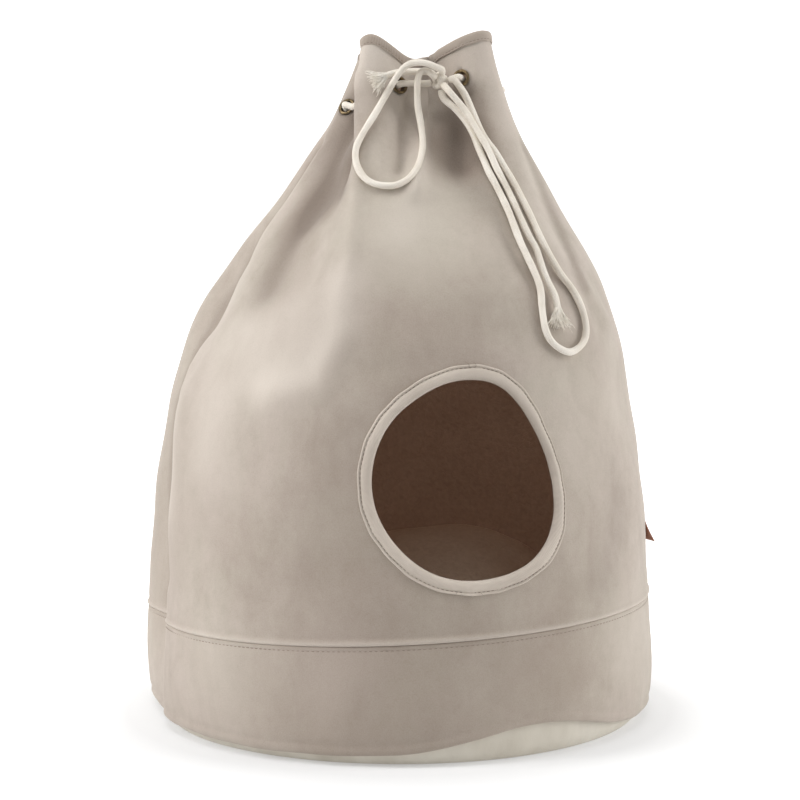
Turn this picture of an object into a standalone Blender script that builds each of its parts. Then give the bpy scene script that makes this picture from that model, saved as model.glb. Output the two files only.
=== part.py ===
"""Cat cave bed: a drawstring bucket of suede laminate with a round entry and a cushion.

Metres, +Z up. The origin is the centre of the base's underside. The entry faces -Y.
Azimuths are in degrees and run from -Y towards +X.
"""
import math
import random

import bmesh
import bpy
import numpy as np
from mathutils import Matrix, Vector

MM = 0.001
CLOTH = 4.0 * MM
SEAT_GAP = 0.3 * MM
SHARP_ANGLE = math.radians(40)

# The round size of the body, before its folds: a row for each height
# columns: height, radius, lean towards +X
PROFILE = (
    (0.000, 0.2190, 0.000),
    (0.012, 0.2238, 0.000),
    (0.024, 0.2255, 0.000),
    (0.048, 0.2268, 0.000),
    (0.102, 0.2245, 0.000),
    (0.186, 0.2190, 0.000),
    (0.276, 0.2065, 0.000),
    (0.321, 0.1965, 0.002),
    (0.366, 0.1805, 0.005),
    (0.411, 0.1555, 0.009),
    (0.456, 0.1240, 0.014),
    (0.501, 0.0970, 0.017),
    (0.545, 0.0730, 0.021),
    (0.572, 0.0625, 0.022),
    (0.612, 0.0560, 0.021),
)

# Fold lines, in order round the body. The cloth runs smoothly from one to the next.
# Columns are heights: hem, foot, hip, waist, shoulder, throat, rim.
FOLD_HEIGHTS = (0.000, 0.100, 0.270, 0.363, 0.453, 0.543, 0.600)

# Azimuth of each fold line at those heights, in degrees
FOLD_AZIMUTHS = {
    "back_valley": (-180, -180, -180, -180, -180, -180, -180),
    "back_left_ridge": (-140, -140, -140, -140, -138, -138, -140),
    "left_lobe": (-96, -96, -97, -97, -98, -106, -112),
    "left_groove": (-73, -73, -75.5, -80, -86, -97, -104),
    "left_ridge": (-67, -67, -69, -73, -80, -91, -98),
    "left_valley": (-42, -42, -42, -43, -52, -72, -78),
    "front_left_ridge": (-15, -15, -15, -16, -24, -42, -46),
    "front_valley": (12, 12, 12, 12, 10, 5, 4),
    "front_right_ridge": (66, 66, 66, 61, 56, 51, 48),
    "right_side": (84, 84, 84, 84, 84, 90, 92),
    "back_right_ridge": (126, 126, 126, 128, 132, 135, 136),
}

# How far each fold line stands out of the round size at those heights, in millimetres
FOLD_PUSH = {
    "back_valley": (0, 0, 0, -1, -11, -26, -24),
    "back_left_ridge": (0, 2, 2, 1, 4, 8, 10),
    "left_lobe": (4, 6, 4, 3, 0.5, 3, 7),
    "left_groove": (-7, -18, -16, -34, -20, 1, 4),
    "left_ridge": (-2, -6, 1, -18, -5, -4, -4),
    "left_valley": (0, 0, -3, -14, -20, -30, -24),
    "front_left_ridge": (0, 0, 0, 1, 3, 8, 17),
    "front_valley": (0, 0, 1, -1, -13, -37, -32),
    "front_right_ridge": (0, 0.5, 3, 8, 10, 12, 12),
    "right_side": (0, -1, -1, 0, -2, -18, -19),
    "back_right_ridge": (0, 0, 0, 2, 5, 12, 14),
}

# Mesh columns from each fold line to the next
FOLD_STEPS = (5, 4, 2, 1, 4, 5, 6, 9, 4, 4, 5)

# Rim height at each fold line, in metres
RIM_HEIGHTS = (0.576, 0.586, 0.588, 0.586, 0.585, 0.582, 0.5945, 0.580, 0.600, 0.590, 0.588)

# Band seam and the band's own lower edge
SEAM_HEIGHT = 0.0990
SEAM_TILT = 0.0095
SEAM_RIDGE = 1.3 * MM
BAND_EDGE = 0.0068
BAND_LIFT = 0.0218
BAND_LIFT_AZIMUTH = 31.0
BAND_LIFT_SPREAD = 22.0
BAND_ROWS = (0.0, 0.12, 0.32, 0.58, 0.84, 1.0)

# Wall rows, as shares of the way from the seam to the rim
WALL_ROWS = (0.0, 0.011, 0.09, 0.18, 0.27, 0.35, 0.43, 0.51, 0.58, 0.64, 0.70, 0.76,
             0.81, 0.855, 0.88, 0.905, 0.93, 0.955, 0.98)

# Round entry
ENTRY_AZIMUTH = 14.3
ENTRY_HEIGHT = 0.2285
ENTRY_HALF_WIDTH = 0.0765
ENTRY_HALF_HEIGHT = 0.0790
ENTRY_WALL_RADIUS = 0.2150
# Where the hole is fuller or flatter than an ellipse: angle round it, size in mm, spread in degrees
ENTRY_SWELLS = ((-36, 10.5, 32), (28, -1.5, 16), (67, 2.5, 18), (122, -2.2, 22), (-138, -1.8, 24))
ENTRY_STEPS = 40
ENTRY_EDGE = 2.3 * MM
ENTRY_CUTTER_REACH = 0.04

# Bindings: closed sections, with columns for the way along the cloth and out of its face, in millimetres
ENTRY_SECTION = (
    (11.4, 0.5), (11.4, 1.5), (10.2, 1.7), (9.0, 1.0), (7.6, 1.9), (2.2, 2.3), (0.3, 0.6),
    (0.0, -2.2), (0.3, -5.0), (2.2, -6.6), (8.6, -6.0), (8.6, -4.9), (1.8, -4.9), (1.8, 0.5),
)
RIM_SECTION = (
    (-9.0, 0.5), (-9.0, 1.5), (-1.2, 1.9), (0.0, 0.4), (0.0, -4.4), (-1.2, -5.9), (-9.0, -5.5),
    (-9.0, -4.5), (-1.9, -4.5), (-1.9, 0.5),
)
RIM_EDGE = 2.4 * MM

# Eyelets: azimuth in degrees and height in metres
EYELETS = (
    (31.0, 0.5580), (-22.0, 0.5520), (-58.0, 0.5360), (-86.0, 0.5370),
    (-160.0, 0.5430), (160.0, 0.5450), (112.0, 0.5460), (71.0, 0.5500),
)
EYELET_RADIUS = 8.0 * MM
EYELET_HOLE_RADIUS = 5.2 * MM
EYELET_BARREL_RADIUS = 6.0 * MM
EYELET_FLANGE = 1.3 * MM
EYELET_LAP = 1.35 * MM
EYELET_TOP = EYELET_LAP + EYELET_FLANGE
EYELET_UNDER = -CLOTH - EYELET_LAP
EYELET_WASHER = 0.6 * MM
EYELET_CUTTER_DEPTH = 16 * MM
# Eyelet section, columns: radius, height over the wall's outer face
EYELET_SECTION = (
    (EYELET_BARREL_RADIUS, EYELET_LAP),
    (EYELET_RADIUS, EYELET_LAP),
    (EYELET_RADIUS - 0.9 * MM, EYELET_TOP),
    (EYELET_HOLE_RADIUS + 0.4 * MM, EYELET_TOP),
    (EYELET_HOLE_RADIUS, EYELET_LAP),
    (EYELET_HOLE_RADIUS, EYELET_UNDER - EYELET_WASHER),
    (EYELET_RADIUS - EYELET_WASHER, EYELET_UNDER - EYELET_WASHER),
    (EYELET_RADIUS - EYELET_WASHER, EYELET_UNDER),
    (EYELET_BARREL_RADIUS, EYELET_UNDER),
)
EYELET_FLAT = 8.5 * MM
EYELET_FADE = 14.0 * MM
EYELET_SIDES = 14

# Drawstring. Routes are in millimetres, chosen along the photograph's bow and the cloth that it lies on.
CORD_RADIUS = 3.25 * MM
CORD_STEP = 2.5 * 2 * CORD_RADIUS
KNOT = (35.0, -62.0, 555.0)
KNOT_RADIUS = 8.2
KNOT_STAND_OFF = 0.4
KNOT_LEAD = 4.0
# The knot's turns of cord: their axis, their number, and the share of the radius left in the grooves
KNOT_AXIS = (0.80, 0.10, 0.59)
KNOT_TURNS = 3
KNOT_GROOVE = 0.86
# Directions in which the strands leave the knot
LEAVES = {
    "neck_left": (-0.984, 0.098, -0.148),
    "neck_right": (0.930, 0.300, 0.200),
    "end_short": (-0.745, 0.150, 0.650),
    "loop_short_out": (0.100, -0.650, 0.750),
    "loop_short_back": (-0.610, -0.710, 0.355),
    "loop_long_out": (0.050, -0.250, -0.967),
    "loop_long_back": (0.850, -0.500, 0.100),
    "end_long": (0.300, -0.830, -0.470),
}
LOOP_SHORT = (
    (32.5, -72.5, 565.0), (27.0, -75.0, 567.5), (19.5, -76.0, 569.5), (11.5, -75.5, 569.5),
    (5.0, -74.0, 567.0), (0.5, -73.0, 562.5), (-5.0, -71.5, 554.5), (-12.0, -69.5, 543.0),
    (-21.0, -79.5, 526.5), (-30.3, -88.5, 511.0), (-36.8, -96.5, 497.0), (-36.8, -104.0, 484.0),
    (-31.5, -111.5, 473.0), (-23.0, -117.5, 466.5), (-11.0, -119.0, 464.0), (-1.0, -116.0, 465.5),
    (10.0, -107.5, 473.0), (16.3, -96.0, 484.5), (19.3, -82.0, 500.0), (17.8, -72.5, 517.5),
    (15.2, -70.0, 533.0), (14.7, -70.0, 546.0), (14.8, -70.0, 554.0), (16.5, -70.0, 561.0),
    (20.5, -69.8, 564.0), (24.8, -69.3, 562.5),
)
LOOP_LONG = (
    (38.5, -66.0, 538.5), (46.0, -67.5, 532.5), (54.8, -71.0, 522.5), (61.3, -77.5, 510.9),
    (67.9, -86.5, 493.7), (75.1, -97.0, 475.8), (79.1, -101.0, 468.1), (89.9, -114.0, 444.5),
    (99.1, -129.8, 418.6), (109.1, -139.6, 396.1), (114.9, -145.8, 380.1), (116.1, -153.8, 362.2),
    (118.6, -158.8, 346.2), (124.4, -158.5, 335.5), (135.9, -152.8, 328.0), (144.5, -145.3, 329.0),
    (152.7, -135.0, 336.8), (154.3, -129.0, 349.0), (150.6, -126.5, 363.8), (142.9, -125.0, 378.7),
    (132.3, -127.0, 392.5), (123.5, -123.0, 408.3), (117.0, -119.0, 420.8), (109.0, -109.8, 439.5),
    (98.9, -99.8, 461.3), (90.5, -93.5, 476.5), (80.5, -86.5, 493.5), (73.5, -81.5, 503.5),
    (67.2, -75.8, 515.1), (61.5, -69.5, 529.7), (55.0, -67.0, 544.0),
)
END_LONG = (
    (42.0, -76.5, 545.0), (49.0, -76.5, 537.0), (56.4, -77.5, 527.5), (64.4, -83.5, 513.5),
    (73.5, -90.5, 497.5), (81.8, -96.5, 478.8), (90.3, -103.0, 461.5), (99.0, -113.0, 441.3),
    (106.6, -122.5, 423.5), (112.8, -126.5, 412.5), (116.0, -132.8, 401.0), (121.0, -139.0, 386.5),
    (127.2, -143.0, 373.4), (129.5, -148.5, 362.0),
)
END_SHORT = ((19.0, -60.5, 563.5), (8.0, -61.5, 563.3), (-1.0, -65.0, 562.3), (-8.0, -67.0, 560.5),
             (-12.5, -68.0, 558.8))
# Frayed ends: way the strands point, and the face that they spread along
FRAY_LONG = ((0.12, -0.32, -0.94), (0.60, -0.76, 0.33))
FRAY_SHORT = ((-0.88, -0.20, -0.44), (0.16, -0.98, 0.15))
FRAY_HEAD = 5.0 * MM
FRAY_HEAD_RADIUS = 4.4 * MM
FRAY_LENGTHS = (9.0 * MM, 13.0 * MM)
FRAY_SPREAD = 0.62
FRAY_SIDES = 8
FRAY_FLATNESS = 0.8
FRAY_OUT_SHARE = 0.4
FRAY_TAPER = 0.55
# How far a strand may swing along the spread and out of it
FRAY_SWING = (0.12, 0.03)
# Head of the frayed end, columns: way along the head, radius
FRAY_SECTIONS = (
    (0.0, CORD_RADIUS),
    (FRAY_HEAD * 0.5, FRAY_HEAD_RADIUS * 0.92),
    (FRAY_HEAD, FRAY_HEAD_RADIUS),
    (FRAY_HEAD * 1.12, FRAY_HEAD_RADIUS * 0.5),
)
# How far the cord stands out of the cloth's middle at each side of an eyelet
EYELET_REACH = 7.5 * MM
# Eyelets in the order in which the cord runs through them, by their place in the table
CORD_ORDER = (1, 2, 3, 4, 5, 6, 7, 0)

# Cushion: crown place, crown height, and its outline
CUSHION_RADIUS = 0.190
CUSHION_FLOOR = 4.6 * MM
CUSHION_CROWN = (0.055, -0.010)
CUSHION_HEIGHT = 0.159
CUSHION_EDGE_HEIGHT = 0.060
CUSHION_SEAM_HEIGHT = 0.038
CUSHION_FOOT_RADIUS = 0.168
CUSHION_SIDES = 28
CUSHION_RINGS = (0.97, 0.88, 0.74, 0.58, 0.42, 0.26, 0.12)
# Its crown falls by these powers of the way out, and its outline and top wander a little
CUSHION_FALL = (2.1, 0.92)
# columns: waves round the outline, start in radians, size as a share of the radius
CUSHION_WANDER = ((3, 0.6, 0.012), (7, 0.0, 0.008))
CUSHION_DIMPLE = 1.5 * MM
CUSHION_DIMPLES = 5
CUSHION_LOW_RING = (0.985, 0.55)

# Base panel
BASE_LAP = 1.3 * MM
BASE_FLOOR = 4.0 * MM
BASE_SIDE = 3.0 * MM
BASE_TOP = 0.036
BASE_INSET = CLOTH + BASE_LAP
# Base panel's section, from under the floor up the outside and down the inside
# columns: height, distance in from the body's outer face
BASE_ROWS = (
    (0.0, BASE_INSET + 3.5 * MM),
    (0.0022, BASE_INSET + 1.2 * MM),
    (0.008, BASE_INSET),
    (0.016, BASE_INSET),
    (BASE_TOP, BASE_INSET),
    (BASE_TOP, BASE_INSET + BASE_SIDE),
    (0.014, BASE_INSET + BASE_SIDE),
    (BASE_FLOOR, BASE_INSET + 15 * MM),
)

# Leather tag
TAG_AZIMUTHS = (91.0, 99.0)
TAG_HEIGHTS = (0.1470, 0.1695)
TAG_THICKNESS = 1.8 * MM
TAG_CLEAR = 0.5 * MM
TAG_LIFT = 8.5 * MM
TAG_CURL = 1.3
TAG_STEPS = 4

LINE_COUNT = len(FOLD_STEPS)
AZIMUTH_TABLE = np.radians(np.array(list(FOLD_AZIMUTHS.values()), dtype=float))
PUSH_TABLE = MM * np.array(list(FOLD_PUSH.values()), dtype=float)
PROFILE_TABLE = np.array(PROFILE)


# Smooth curves through tables

def curve_slopes(x, y):
    """Slopes of a smooth curve through points, along the last axis, that never overshoots them."""
    step = np.diff(x, axis=-1)
    rise = np.diff(y, axis=-1) / step
    before, after = rise[..., :-1], rise[..., 1:]
    near, far = step[..., :-1], step[..., 1:]
    agree = before * after > 0
    before = np.where(agree, before, 1.0)
    after = np.where(agree, after, 1.0)
    first, second = 2 * far + near, far + 2 * near
    inner = np.where(agree, (first + second) / (first / before + second / after), 0.0)
    return np.concatenate([rise[..., :1], inner, rise[..., -1:]], axis=-1)


def curve_value(x, x_before, x_after, y_before, y_after, slope_before, slope_after):
    """Value at x of the cubic between two points with the given slopes."""
    span = x_after - x_before
    t = (x - x_before) / span
    rest = 1 - t
    return (y_before * (1 + 2 * t) * rest ** 2 + y_after * t ** 2 * (3 - 2 * t)
            + span * (slope_before * t * rest ** 2 - slope_after * t ** 2 * rest))


def table_at(heights, rows, z):
    """Each row of a table, as a smooth curve over the heights, read at every z."""
    heights = np.asarray(heights, dtype=float)
    rows = np.asarray(rows, dtype=float)
    z = np.clip(z, heights[0], heights[-1])
    slopes = curve_slopes(heights[None, :], rows)
    k = np.clip(np.searchsorted(heights, z, side="right") - 1, 0, len(heights) - 2)
    return curve_value(z[:, None], heights[k][:, None], heights[k + 1][:, None],
                       rows[:, k].T, rows[:, k + 1].T, slopes[:, k].T, slopes[:, k + 1].T)


# The folded body's surface

def wrapped(lines):
    """Fold lines' azimuths with two more at each end, a full turn away."""
    turn = 2 * math.pi
    return np.concatenate([lines[:, -2:] - turn, lines, lines[:, :2] + turn], axis=1)


def fold_lines(z):
    """Azimuth and radius of every fold line at each z, with two repeated at each end."""
    azimuths = wrapped(table_at(FOLD_HEIGHTS, AZIMUTH_TABLE, z))
    push = table_at(FOLD_HEIGHTS, PUSH_TABLE, z)
    round_size = table_at(PROFILE_TABLE[:, 0], PROFILE_TABLE[:, 1:].T, z)
    radii = push + round_size[:, :1]
    radii = np.concatenate([radii[:, -2:], radii, radii[:, :2]], axis=1)
    return azimuths, radii, round_size[:, 1]


def plain_shell(u, z):
    """Points of the body's outer face. u counts fold lines and runs on between them."""
    u = np.asarray(u, dtype=float) % LINE_COUNT
    z = np.asarray(z, dtype=float)
    azimuths, radii, lean = fold_lines(z)
    slopes = curve_slopes(azimuths, radii)
    k = np.floor(u).astype(int) + 2
    row = np.arange(len(u))
    a_before, a_after = azimuths[row, k], azimuths[row, k + 1]
    azimuth = a_before + (u - np.floor(u)) * (a_after - a_before)
    radius = curve_value(azimuth, a_before, a_after, radii[row, k], radii[row, k + 1],
                         slopes[row, k], slopes[row, k + 1])
    return np.stack([lean + radius * np.sin(azimuth), -radius * np.cos(azimuth), z], axis=1)


def line_position(azimuth_deg, z):
    """The u of a point that is given by its azimuth."""
    azimuths = fold_lines(np.atleast_1d(np.asarray(z, dtype=float)))[0]
    wanted = np.radians(np.atleast_1d(np.asarray(azimuth_deg, dtype=float)))
    counts = np.arange(-2, LINE_COUNT + 2, dtype=float)
    return np.array([np.interp(a, row, counts) for a, row in zip(wanted, azimuths)])


def face_normals(surface, u, z):
    """Unit normals that point out of the body."""
    du, dz = 0.02, 0.5 * MM
    across = surface(u + du, z) - surface(u - du, z)
    up = surface(u, z + dz) - surface(u, z - dz)
    normal = np.cross(across, up)
    return normal / np.linalg.norm(normal, axis=1, keepdims=True)


def eyelet_seats():
    """Centre and outward normal of every eyelet on the body."""
    azimuths = np.array([row[0] for row in EYELETS])
    heights = np.array([row[1] for row in EYELETS])
    u = line_position(azimuths, heights)
    return plain_shell(u, heights), face_normals(plain_shell, u, heights)


SEAT_CENTRES, SEAT_NORMALS = eyelet_seats()


def shell(u, z):
    """Points of the outer face, with the flats that the eyelets press into it."""
    points = plain_shell(u, z)
    for centre, normal in zip(SEAT_CENTRES, SEAT_NORMALS):
        offset = points - centre
        height = offset @ normal
        sideways = np.linalg.norm(offset - height[:, None] * normal, axis=1)
        fade = np.clip((EYELET_FADE - sideways) / (EYELET_FADE - EYELET_FLAT), 0.0, 1.0)
        fade = fade * fade * (3 - 2 * fade) * (np.linalg.norm(offset, axis=1) < 2 * EYELET_FADE)
        points = points - (height * fade)[:, None] * normal
    return points


def shell_offset(u, z, out):
    """Points at a distance out of the outer face."""
    u = np.asarray(u, dtype=float)
    z = np.asarray(z, dtype=float)
    return shell(u, z) + face_normals(shell, u, z) * np.asarray(out, dtype=float).reshape(-1, 1)


def columns():
    """The u of every mesh column, so that each fold line has a column of its own."""
    return np.concatenate([k + np.arange(n) / n for k, n in enumerate(FOLD_STEPS)])


def azimuth_of(u, z):
    """Azimuth in radians of each column at a height."""
    point = plain_shell(u, z)
    lean = fold_lines(np.asarray(z, dtype=float))[2]
    return np.arctan2(point[:, 0] - lean, -point[:, 1])


def rim_height(u):
    """Height of the neck's rim, smooth round the body."""
    u = np.asarray(u, dtype=float) % LINE_COUNT
    k = np.floor(u).astype(int)
    t = u - k
    t = t * t * (3 - 2 * t)
    rim = np.array(RIM_HEIGHTS)
    return rim[k] * (1 - t) + rim[(k + 1) % LINE_COUNT] * t


def seam_height(u):
    """Height of the band seam, a little higher at the right."""
    level = np.full(len(u), SEAM_HEIGHT)
    return SEAM_HEIGHT + SEAM_TILT * np.sin(azimuth_of(u, level))


def hump(distance, width):
    """A soft bump that is 1 at 0 and fades out over a width."""
    return np.exp(-(distance / width) ** 2)


def band_edge(u):
    """Height of the band's lower edge, lifted at the front right."""
    azimuth = np.degrees(azimuth_of(u, np.zeros(len(u))))
    return BAND_EDGE + BAND_LIFT * hump(azimuth - BAND_LIFT_AZIMUTH, BAND_LIFT_SPREAD)


# Mesh helpers

def material(name, color, roughness, metallic=0.0):
    """A plain Principled material."""
    made = bpy.data.materials.new(name)
    made.use_nodes = True
    shader = made.node_tree.nodes["Principled BSDF"]
    shader.inputs["Base Color"].default_value = (*color, 1.0)
    shader.inputs["Roughness"].default_value = roughness
    shader.inputs["Metallic"].default_value = metallic
    return made


def finish_object(name, bm, finish):
    """Turn a bmesh into a named object with outward faces."""
    bmesh.ops.recalc_face_normals(bm, faces=bm.faces)
    mesh = bpy.data.meshes.new(name)
    bm.to_mesh(mesh)
    bm.free()
    mesh.materials.append(finish)
    mesh.shade_smooth()
    mesh.set_sharp_from_angle(angle=SHARP_ANGLE)
    made = bpy.data.objects.new(name, mesh)
    bpy.context.scene.collection.objects.link(made)
    return made


def add_rings(bm, rings, close_rings):
    """Skin rings of points, each ring joined to the next and to itself. Returns the vertex rings."""
    made = [[bm.verts.new(point) for point in ring] for ring in rings]
    pairs = list(zip(made, made[1:] + made[:1])) if close_rings else list(zip(made, made[1:]))
    for low, high in pairs:
        for i in range(len(low)):
            j = (i + 1) % len(low)
            bm.faces.new((low[i], low[j], high[j], high[i]))
    return made


def sheet_object(name, heights, thickness, finish, push=None):
    """A closed sheet round the body. heights has a row of z for each mesh row, from low to high."""
    u = columns()
    push = push or (lambda row: 0.0)
    outer = [shell_offset(u, z, np.full(len(u), push(i))) for i, z in enumerate(heights)]
    inner = [shell_offset(u, z, np.full(len(u), -thickness)) for z in heights]
    bm = bmesh.new()
    add_rings(bm, outer + inner[::-1], close_rings=True)
    return finish_object(name, bm, finish)


def cut_with(target, cutters):
    """Cut helper solids out of an object with Boolean modifiers."""
    for cutter in cutters:
        cutter.hide_render = True
        cutter.display_type = "WIRE"
        cut = target.modifiers.new("cut_" + cutter.name, "BOOLEAN")
        cut.operation = "DIFFERENCE"
        cut.solver = "EXACT"
        cut.object = cutter


def axis_matrix(centre, direction):
    """A frame at a point, with its Z along a direction and its Y as near to upright as it can be."""
    z_axis = Vector(direction).normalized()
    x_axis = Vector((0, 0, 1)).cross(z_axis).normalized()
    y_axis = z_axis.cross(x_axis)
    frame = Matrix((x_axis, y_axis, z_axis)).transposed().to_4x4()
    frame.translation = Vector(centre)
    return frame


# Cloth pieces

def entry_swell(angles):
    """How far the hole's edge lies outside a true ellipse, at angles round it."""
    degrees = np.degrees(angles)
    return sum(size * MM * hump((degrees - at + 180) % 360 - 180, spread) for at, size, spread in ENTRY_SWELLS)


def entry_point(angles, along, out):
    """Points round the entry: along the cloth from the hole's edge, and out of its face."""
    along = along + entry_swell(angles)
    z = ENTRY_HEIGHT + (ENTRY_HALF_HEIGHT + along) * np.sin(angles)
    turn = np.degrees((ENTRY_HALF_WIDTH + along) * np.cos(angles) / ENTRY_WALL_RADIUS)
    u = line_position(ENTRY_AZIMUTH + turn, z)
    return shell_offset(u, z, np.full(len(u), out))


def entry_angles():
    """Angles round the entry."""
    return np.arange(ENTRY_STEPS) * 2 * math.pi / ENTRY_STEPS


def entry_cutter(finish):
    """A prism through the wall, as wide as the wall's cut edge."""
    edge = entry_point(entry_angles(), ENTRY_EDGE, 0.0)
    centre = edge.mean(axis=0)
    direction = Vector((math.sin(math.radians(ENTRY_AZIMUTH)), -math.cos(math.radians(ENTRY_AZIMUTH)), 0))
    frame = axis_matrix(centre, direction)
    local = [frame.inverted() @ Vector(point) for point in edge]
    rings = [[frame @ Vector((p.x, p.y, side * ENTRY_CUTTER_REACH)) for p in local] for side in (-1, 1)]
    bm = bmesh.new()
    made = add_rings(bm, rings, close_rings=False)
    bm.faces.new(made[0][::-1])
    bm.faces.new(made[1])
    return finish_object("entry_cutter", bm, finish)


def eyelet_cutter(index, finish):
    """A rod through the wall at one eyelet."""
    frame = axis_matrix(SEAT_CENTRES[index], SEAT_NORMALS[index])
    bm = bmesh.new()
    radius = EYELET_BARREL_RADIUS + SEAT_GAP
    bmesh.ops.create_cone(bm, cap_ends=True, segments=EYELET_SIDES, depth=EYELET_CUTTER_DEPTH,
                          radius1=radius, radius2=radius, matrix=frame)
    return finish_object("eyelet_cutter_%d" % (index + 1), bm, finish)


def wall_panel(finish):
    """The tall body and gathered neck, with the entry and the eyelet holes cut through."""
    u = columns()
    low = seam_height(u) + SEAT_GAP
    high = rim_height(u)
    heights = [low + (high - low) * share for share in WALL_ROWS]
    heights.append(high - RIM_EDGE)
    panel = sheet_object("wall_panel", heights, CLOTH, finish,
                         push=lambda row: SEAM_RIDGE if row < 1 else 0.0)
    cutters = [entry_cutter(finish)]
    cutters += [eyelet_cutter(i, finish) for i in range(len(EYELETS))]
    cut_with(panel, cutters)
    return panel


def base_band(finish):
    """The lower strip, from its lifted lower edge up to the seam."""
    u = columns()
    low = band_edge(u)
    high = seam_height(u) - SEAT_GAP
    heights = [low + (high - low) * share for share in BAND_ROWS]
    return sheet_object("base_band", heights, CLOTH, finish)


def base_panel(finish):
    """The cream bottom: a flat floor whose edge turns up inside the band."""
    u = columns()
    rings = []
    for height, depth in BASE_ROWS:
        ring = shell_offset(u, np.full(len(u), height), np.full(len(u), -depth))
        ring[:, 2] = height
        rings.append(ring)
    bm = bmesh.new()
    made = add_rings(bm, rings, close_rings=False)
    bm.faces.new(made[0][::-1])
    bm.faces.new(made[-1])
    return finish_object("base_panel", bm, finish)


def top_binding(finish):
    """Tape folded over the rim."""
    u = columns()
    rim = rim_height(u)
    rings = [shell_offset(u, rim + along * MM, np.full(len(u), out * MM)) for along, out in RIM_SECTION]
    bm = bmesh.new()
    add_rings(bm, rings, close_rings=True)
    return finish_object("top_binding", bm, finish)


def entry_binding(finish):
    """Tape folded over the edge of the entry."""
    rings = [entry_point(entry_angles(), along * MM, out * MM) for along, out in ENTRY_SECTION]
    bm = bmesh.new()
    add_rings(bm, rings, close_rings=True)
    return finish_object("entry_binding", bm, finish)


def cushion(finish):
    """A filled round cushion with a crown, drawn in to its seam and flat where it rests."""
    angles = np.arange(CUSHION_SIDES) * 2 * math.pi / CUSHION_SIDES
    crown = np.array(CUSHION_CROWN)
    wander = sum(size * np.sin(count * angles + start) for count, start, size in CUSHION_WANDER)
    outline = CUSHION_RADIUS * (1 + wander)
    edge = np.stack([outline * np.cos(angles), outline * np.sin(angles)], axis=1)

    def ring(points, z):
        return np.column_stack([points, np.broadcast_to(z, len(points))])

    foot = edge * (CUSHION_FOOT_RADIUS / CUSHION_RADIUS)
    low_edge, low_height = CUSHION_LOW_RING
    rings = [ring(foot, CUSHION_FLOOR), ring(edge * low_edge, CUSHION_SEAM_HEIGHT * low_height),
             ring(edge, CUSHION_SEAM_HEIGHT)]
    for share in CUSHION_RINGS:
        rise = (1 - share ** CUSHION_FALL[0]) ** CUSHION_FALL[1]
        dimple = CUSHION_DIMPLE * np.sin(CUSHION_DIMPLES * angles + 4 * share)
        z = CUSHION_EDGE_HEIGHT + (CUSHION_HEIGHT - CUSHION_EDGE_HEIGHT) * rise + dimple * share
        rings.append(ring(crown * (1 - share) + edge * share, z))
    bm = bmesh.new()
    made = add_rings(bm, rings, close_rings=False)
    bm.faces.new(made[0][::-1])
    top = bm.verts.new((crown[0], crown[1], CUSHION_HEIGHT))
    for i in range(CUSHION_SIDES):
        bm.faces.new((made[-1][i], made[-1][(i + 1) % CUSHION_SIDES], top))
    return finish_object("cushion", bm, finish)


def leather_tag(finish):
    """A bare tab at the right side, whose lower front corner stands off the wall."""
    shares = np.linspace(0.0, 1.0, TAG_STEPS)
    grid = []
    for down in shares:
        z = np.full(TAG_STEPS, TAG_HEIGHTS[1] + (TAG_HEIGHTS[0] - TAG_HEIGHTS[1]) * down)
        azimuth = TAG_AZIMUTHS[1] + (TAG_AZIMUTHS[0] - TAG_AZIMUTHS[1]) * shares
        lift = TAG_CLEAR + TAG_LIFT * (down * shares) ** TAG_CURL
        grid.append((line_position(azimuth, z), z, lift))
    bm = bmesh.new()
    skins = []
    for extra in (TAG_THICKNESS, 0.0):
        skins.append([[bm.verts.new(p) for p in shell_offset(u, z, lift + extra)] for u, z, lift in grid])
    last = TAG_STEPS - 1
    for skin in skins:
        for i in range(last):
            for j in range(last):
                bm.faces.new((skin[i][j], skin[i + 1][j], skin[i + 1][j + 1], skin[i][j + 1]))
    border = [(0, j) for j in range(last)] + [(i, last) for i in range(last)]
    border += [(last, j) for j in range(last, 0, -1)] + [(i, 0) for i in range(last, 0, -1)]
    for (a, b), (c, d) in zip(border, border[1:] + border[:1]):
        bm.faces.new((skins[0][a][b], skins[0][c][d], skins[1][c][d], skins[1][a][b]))
    return finish_object("leather_tag", bm, finish)


# Metal pieces

def eyelet(index, finish):
    """A brass ring with a barrel through the wall and a rolled flange on each face."""
    frame = axis_matrix(SEAT_CENTRES[index], SEAT_NORMALS[index])
    turns = [i * 2 * math.pi / EYELET_SIDES for i in range(EYELET_SIDES)]
    rings = [[frame @ Vector((r * math.cos(a), r * math.sin(a), h)) for a in turns]
             for r, h in EYELET_SECTION]
    bm = bmesh.new()
    add_rings(bm, rings, close_rings=True)
    return finish_object("eyelet_%d" % (index + 1), bm, finish)


# Drawstring

def smooth_route(points, step):
    """Points a step apart along a smooth curve through route points. Each route point is kept."""
    points = [Vector(p) for p in points]
    ends = [points[0] * 2 - points[1]] + points + [points[-1] * 2 - points[-2]]
    made = []
    for before, start, end, after in zip(ends, ends[1:], ends[2:], ends[3:]):
        count = max(1, round((end - start).length / step))
        for i in range(count):
            t = i / count
            made.append(0.5 * (2 * start + (end - before) * t
                               + (2 * before - 5 * start + 4 * end - after) * t ** 2
                               + (3 * start - before - 3 * end + after) * t ** 3))
    return made + [points[-1]]


def even_route(points, step):
    """The same smooth curve, with its points the same distance apart."""
    fine = smooth_route(points, 1 * MM)
    lengths = [0.0]
    for a, b in zip(fine, fine[1:]):
        lengths.append(lengths[-1] + (b - a).length)
    count = round(lengths[-1] / step)
    wanted = np.linspace(0.0, lengths[-1], count + 1)
    table = np.array(fine)
    return [Vector([np.interp(w, lengths, table[:, axis]) for axis in range(3)]) for w in wanted]


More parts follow.
